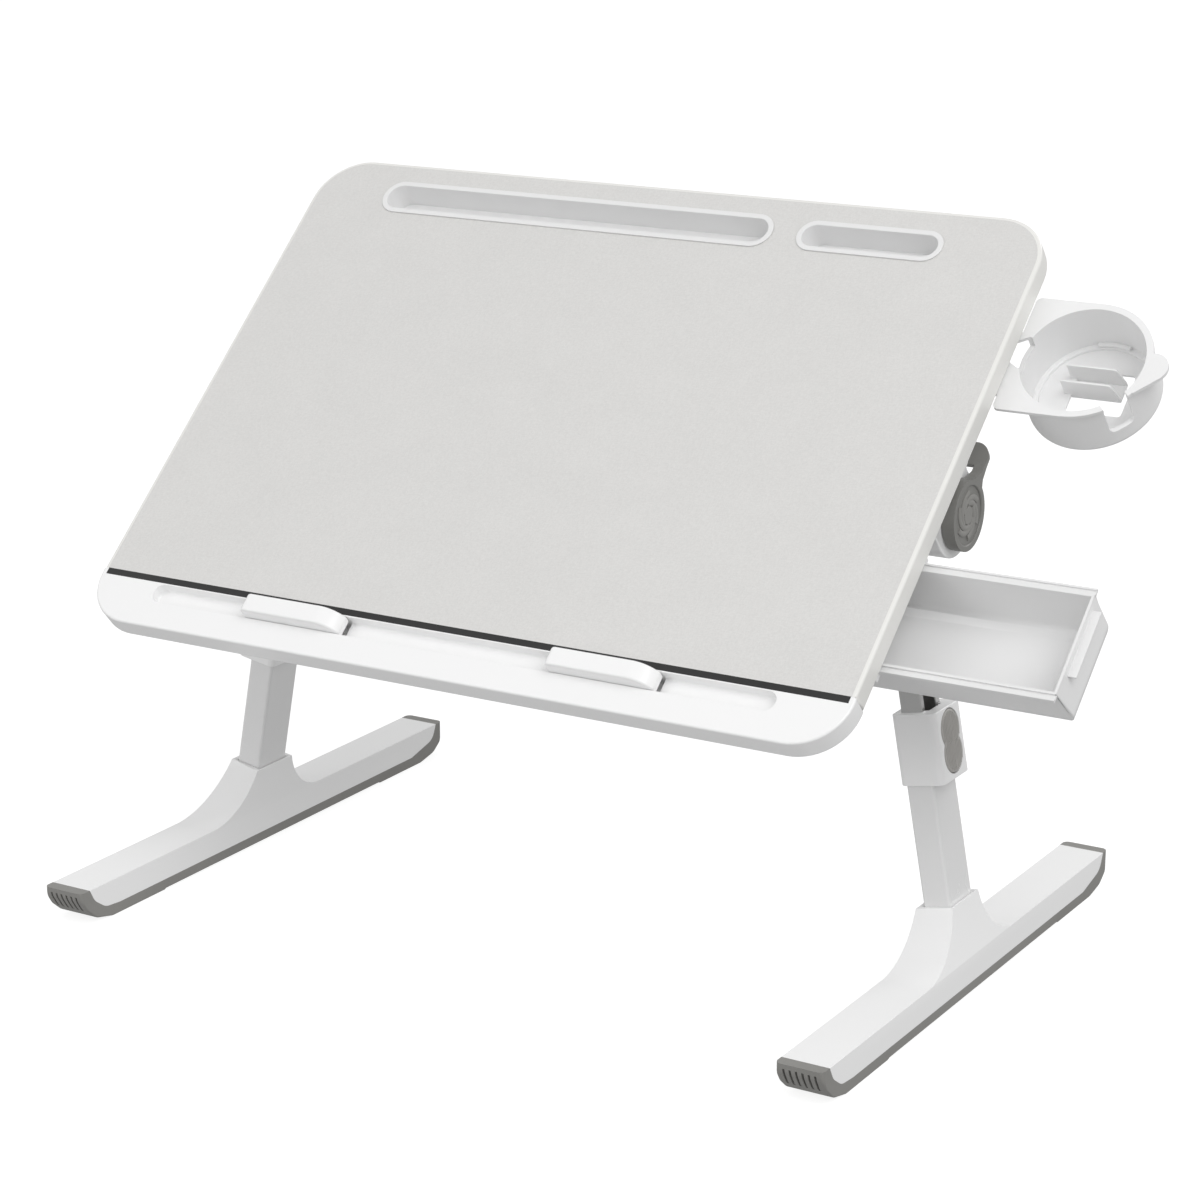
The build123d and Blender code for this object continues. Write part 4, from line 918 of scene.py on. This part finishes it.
@dataclass
class TiltClutch:
    """One side's bracket, clutch, lever and drum.

    Attributes:
        side: The side.
        face_u: The lever's outer face, across the table.
        dish_depth: Depth of the dish in that face.
        hub_r: Radius of the hub in the dish.
        hub_taper: How much narrower the hub is at its top.
        hub_height: Height of the hub.
        hub_lift: The hub's middle above the dish's floor.
        hub_round: Rounding of the hub's rims.
        hub_sides: Number of sides of the hub.
        rim_angle: Bend from which an edge of the hub is a rim, in radians.
        vane_count: Number of curved vanes round the hub.
        vane_start: Radius at which a vane starts.
        vane_bow: The middle of a vane's bend, from the hub.
        vane_turn: How far a vane is bent, in degrees.
        vane_lift: A vane's middle above the dish's floor.
        vane_rod: A vane's section.
        bracket_edges: Rounding of the bracket's edges.
        cover_edges: Rounding of the clutch cover's edges.
        lever_edges: Rounding of the lever's edges.
        drum_edges: Rounding of the drum's edges.
    """

    side: Side
    face_u: float = 298.6
    dish_depth: float = 1.2
    hub_r: float = 6.6
    hub_taper: float = 0.5
    hub_height: float = 1.1
    hub_lift: float = 0.25
    hub_round: float = 0.25
    hub_sides: int = 48
    rim_angle: float = 0.6
    vane_count: int = 6
    vane_start: float = 8.2
    vane_bow: tuple[float, float] = (-4.6, 0.0)
    vane_turn: float = -118.0
    vane_lift: float = 0.2
    vane_rod: Rod = Rod(2.1, 0.9, 18)
    bracket_edges: Rounding = Rounding(1.0, 3, 40)
    cover_edges: Rounding = Rounding(0.5, 2, 40)
    lever_edges: Rounding = Rounding(1.0, 3, 40)
    drum_edges: Rounding = Rounding(0.8, 3, 40)

    def swirl(self) -> None:
        """Build the round hub and the curved vanes in the lever's dish."""
        bm = bmesh.new()
        floor_u = self.face_u - self.dish_depth
        bmesh.ops.create_cone(
            bm, cap_ends=True, segments=self.hub_sides, radius1=self.hub_r,
            radius2=self.hub_r - self.hub_taper, depth=self.hub_height,
            matrix=Matrix.Translation((0, 0, floor_u + self.hub_lift)))
        rims = [edge for edge in bm.edges if edge.calc_face_angle(0.0) > self.rim_angle]
        bmesh.ops.bevel(bm, geom=rims, offset=self.hub_round, segments=2, profile=0.5,
                        affect="EDGES", material=-1, clamp_overlap=True)
        for index in range(self.vane_count):
            turn = Matrix.Rotation(index * math.tau / self.vane_count, 4, "Z")
            start = turn @ Vector((self.vane_start, 0, floor_u + self.vane_lift))
            bow = turn @ Vector((*self.vane_bow, floor_u + self.vane_lift))
            bent_rod(bm, start, bow, self.vane_turn, self.vane_rod)
        settle(bm, DESK.mirrored(DESK.clutch(), self.side))
        body = body_of_node(f"cam_lever_{self.side.word}")
        # The hub and vanes take the lighter grey, a painted highlight against the darker lever.
        add_piece(bm, f"lever_swirl_{self.side.word}", body, VANE_HIGHLIGHT)

    def build(self) -> None:
        """Build this side's bracket, lever and drum."""
        word = self.side.word
        self.swirl()
        soften_node(f"bracket_{word}", WHITE, [self.bracket_edges], f"pivot_bracket_{word}")
        soften_node(f"clutch_cover_{word}", WHITE, [self.cover_edges], f"clutch_disc_{word}")
        dress_node(f"clutch_ring_{word}", GREY)
        dress_node(f"clamp_pin_{word}", STEEL)
        soften_node(f"cam_lever_{word}", LEVER, [self.lever_edges], f"lever_{word}")
        soften_node(f"hinge_drum_{word}", WHITE, [self.drum_edges], f"drum_{word}")
        dress_node(f"fold_bolt_{word}", STEEL)


@dataclass
class Leg:
    """One side's knuckle, tubes, sleeve and button.

    Attributes:
        side: The side.
        button_centre: The button's middle, down the leg.
        button_face: The button's face, out from the leg's middle.
        lobe_gap: From the button's middle to the middle of a lobe.
        lobe_reach: How far the ribs reach out from the middle of a lobe.
        waist: Half of the button's width between the lobes.
        waist_gap: From the button's middle to the nearest end of a rib.
        rib_pitch: From rib to rib.
        rib_count: Number of ribs across the button.
        rib_bow_r: Radius of a rib's bow.
        rib_least: Least half length of a rib.
        rib_rod: A rib's section.
        tube_flat: Bend up to which a tube's neighbouring faces are made one, in degrees.
        knuckle_edges: Rounding of the knuckle's edges.
        inner_edges: Rounding of the inner tube's edges.
        outer_edges: Rounding of the outer tube's edges.
        sleeve_edges: Rounding of the sleeve's edges.
        button_edges: Rounding of the button's edges.
    """

    side: Side
    button_centre: float = 164.0
    button_face: float = 20.4
    lobe_gap: float = 8.5
    lobe_reach: float = 12.2
    waist: float = 9.0
    waist_gap: float = 0.4
    rib_pitch: float = 2.1
    rib_count: int = 11
    rib_bow_r: float = 62.0
    rib_least: float = 2.0
    rib_rod: Rod = Rod(0.62, 0.75, 10)
    tube_flat: float = 0.05
    knuckle_edges: Rounding = Rounding(0.8, 3, 40)
    inner_edges: Rounding = Rounding(1.6, 3, 60)
    outer_edges: Rounding = Rounding(2.2, 4, 60)
    sleeve_edges: Rounding = Rounding(0.8, 3, 40)
    button_edges: Rounding = Rounding(1.3, 3, 60)

    def add_rib(self, bm: bmesh.types.BMesh, offset: float, lobe: int) -> None:
        """Add one rib on one lobe of the button.

        Args:
            bm: The mesh to add to, in millimetres.
            offset: Where the rib is across the button.
            lobe: 1 for the lower lobe, -1 for the upper one.
        """
        reach = math.sqrt(max(self.rib_least**2, self.lobe_reach**2 - offset**2))
        far = lobe * (self.lobe_gap + reach)
        inner = 0.0 if abs(offset) < self.waist else self.lobe_gap - reach
        low, high = sorted((far, lobe * max(self.waist_gap, inner)))
        bow = -1 if offset < 0 else 1
        middle = lobe * self.lobe_gap
        centre = Vector((offset - bow * self.rib_bow_r, self.button_centre + middle, 0))
        start_turn = math.asin((low - middle) / self.rib_bow_r)
        end_turn = math.asin((high - middle) / self.rib_bow_r)
        way = Vector((bow * math.cos(start_turn), math.sin(start_turn), 0))
        turn = bow * math.degrees(end_turn - start_turn)
        bent_rod(bm, centre + way * self.rib_bow_r, centre, turn, self.rib_rod)

    def button_ribs(self) -> None:
        """Build the fine finger ribs that run the length of the button, bowed towards its waist."""
        bm = bmesh.new()
        middle = (self.rib_count - 1) / 2
        for rib in range(self.rib_count):
            for lobe in (-1, 1):
                self.add_rib(bm, (rib - middle) * self.rib_pitch, lobe)
        turn = Matrix((
            (0, 0, 1, self.button_face),
            (1, 0, 0, 0),
            (0, 1, 0, 0),
            (0, 0, 0, 1),
        ))
        settle(bm, DESK.mirrored(DESK.leg() @ turn, self.side))
        body = body_of_node(f"button_{self.side.word}")
        add_piece(bm, f"button_ribs_{self.side.word}", body, GREY)

    def build(self) -> None:
        """Build this side's leg."""
        word = self.side.word
        self.button_ribs()
        soften_node(f"knuckle_{word}", GREY, [self.knuckle_edges], f"knuckle_box_{word}")
        inner, outer = f"inner_profile_{word}", f"outer_profile_{word}"
        soften_node(f"inner_tube_{word}", TUBE, [self.inner_edges], inner, self.tube_flat)
        dress_node(f"height_core_{word}", GREY)
        soften_node(f"outer_tube_{word}", COATED, [self.outer_edges], outer, self.tube_flat)
        soften_node(f"sleeve_{word}", WHITE, [self.sleeve_edges], f"sleeve_shell_{word}")
        soften_node(f"button_{word}", GREY, [self.button_edges], f"rocker_{word}")
        dress_node(f"lock_shoe_{word}", GREY)
        dress_node(f"leaf_spring_{word}", STEEL)


@dataclass
class Foot:
    """One side's foot shell and sole.

    Attributes:
        side: The side.
        shell_edges: Rounding of the shell's edges.
        sole_edges: Rounding of the sole's edges.
    """

    side: Side
    shell_edges: Rounding = Rounding(2.4, 4, 40)
    sole_edges: Rounding = Rounding(1.2, 3, 50)

    def build(self) -> None:
        """Build this side's foot."""
        word = self.side.word
        soften_node(f"foot_shell_{word}", WHITE, [self.shell_edges], f"foot_body_{word}")
        soften_node(f"foot_sole_{word}", SOLE, [self.sole_edges], f"foot_pad_{word}")


@dataclass
class Fasteners:
    """The screws under the board.

    Attributes:
        nodes: The CAD nodes of the four sets.
    """

    nodes: tuple[str, ...] = ("rail_screws", "cover_screws", "bracket_screws", "guide_screws")

    def build(self) -> None:
        """Dress the four sets of screws."""
        for node in self.nodes:
            dress_node(node, STEEL)


@dataclass(frozen=True)
class Softbox:
    """One large soft light.

    Attributes:
        name: The light's name.
        place: Its place in metres.
        size: Its side in metres.
        power: Its power in watts.
        aim: The point that it faces, in metres.
    """

    name: str
    place: tuple[float, float, float]
    size: float
    power: float
    aim: tuple[float, float, float] = (0, 0, 0.2)

    def hang(self) -> None:
        """Hang the light."""
        data = bpy.data.lights.new(self.name, "AREA")
        data.shape = "SQUARE"
        data.size = self.size
        data.energy = self.power
        obj = bpy.data.objects.new(self.name, data)
        obj.location = self.place
        way = Vector(self.aim) - Vector(self.place)
        obj.rotation_euler = way.to_track_quat("-Z", "Y").to_euler()
        bpy.context.scene.collection.objects.link(obj)


@dataclass
class Studio:
    """The floor, the soft light and the camera.

    Attributes:
        camera_place: Where the camera stands, in row millimetres.
        camera_target: Where it looks, in row millimetres.
        lens: Its focal length on a sensor of sensor_width.
        sensor_width: Width of its sensor in millimetres.
        floor_reach: Half of the floor's side in metres.
        floor_glow: Strength of the floor's own light.
        sky_high: Strength of the light from overhead.
        sky_low: Strength of the light from below the horizon.
        sky_turn: How far above and below the horizon the sky changes, as a share of straight up.
        boxes: The soft lights.
    """

    camera_place: tuple[float, float, float] = (1074.675, -1863.0, 854.3)
    camera_target: tuple[float, float, float] = (86.515, -212.35, 304.32)
    lens: float = 94.86
    sensor_width: float = 36.0
    floor_reach: float = 30.0
    floor_glow: float = 0.84
    sky_high: float = 0.67
    sky_low: float = 0.44
    sky_turn: float = 0.35
    boxes: tuple[Softbox, ...] = (
        Softbox("key_box", (2.8, -2.05, 3.4), 2.9, 84),
        Softbox("fill_box", (-1.9, -3.6, 1.15), 2.2, 26),
        Softbox("edge_box", (0.9, 2.7, 1.8), 0.9, 15),
    )

    def floor(self) -> None:
        """Lay the pale floor."""
        bm = bmesh.new()
        bmesh.ops.create_grid(bm, x_segments=1, y_segments=1, size=self.floor_reach)
        mesh = bpy.data.meshes.new("studio_floor")
        bm.to_mesh(mesh)
        bm.free()
        obj = bpy.data.objects.new("studio_floor", mesh)
        bpy.context.scene.collection.objects.link(obj)
        made = bpy.data.materials.new("studio_floor")
        made.use_nodes = True
        values = {
            "Base Color": (0.3, 0.3, 0.3, 1), "Emission Color": (1.0, 1.0, 1.0, 1),
            "Emission Strength": self.floor_glow, "Roughness": 0.9, "Specular IOR Level": 0.1,
        }
        for name, value in values.items():
            made.node_tree.nodes["Principled BSDF"].inputs[name].default_value = value
        mesh.materials.append(made)
        obj.visible_diffuse = False
        obj.visible_glossy = False

    def light(self) -> None:
        """Set the light from all round and the softboxes."""
        world = bpy.data.worlds.new("studio")
        world.use_nodes = True
        n = Nodes(world.node_tree)
        way = n.add("SeparateXYZ", {0: n.add("TexCoord").outputs["Generated"]})
        graded = span(-self.sky_turn, self.sky_turn, self.sky_low, self.sky_high)
        strength = n.add("MapRange", {"Value": way.outputs["Z"], **graded})
        back = world.node_tree.nodes["Background"]
        back.inputs["Color"].default_value = (1.0, 1.0, 1.0, 1)
        n.tree.links.new(strength.outputs[0], back.inputs["Strength"])
        bpy.context.scene.world = world
        for box in self.boxes:
            box.hang()

    def camera(self) -> None:
        """Stand the camera where the photograph was taken from."""
        data = bpy.data.cameras.new("camera")
        data.sensor_width = self.sensor_width
        data.lens = self.lens
        data.clip_start, data.clip_end = 0.05, 60.0
        obj = bpy.data.objects.new("camera", data)
        place, target = Vector(self.camera_place) * MM, Vector(self.camera_target) * MM
        obj.location = place
        obj.rotation_euler = (target - place).to_track_quat("-Z", "Y").to_euler()
        bpy.context.scene.collection.objects.link(obj)
        bpy.context.scene.camera = obj

    def build(self) -> None:
        """Build the whole studio."""
        self.floor()
        self.light()
        self.camera()
        bpy.context.scene.view_settings.view_transform = "Standard"


def main() -> None:
    """Build every sub-assembly in order."""
    logging.basicConfig(level=logging.INFO, format="%(message)s")
    Studio().build()
    Tabletop().build()
    Stoppers().build()
    PenTrays().build()
    SideDrawer().build()
    CupHolder().build()
    for side in Side:
        TiltClutch(side).build()
        Leg(side).build()
        Foot(side).build()
    Fasteners().build()


if __name__ == "__main__":
    main()
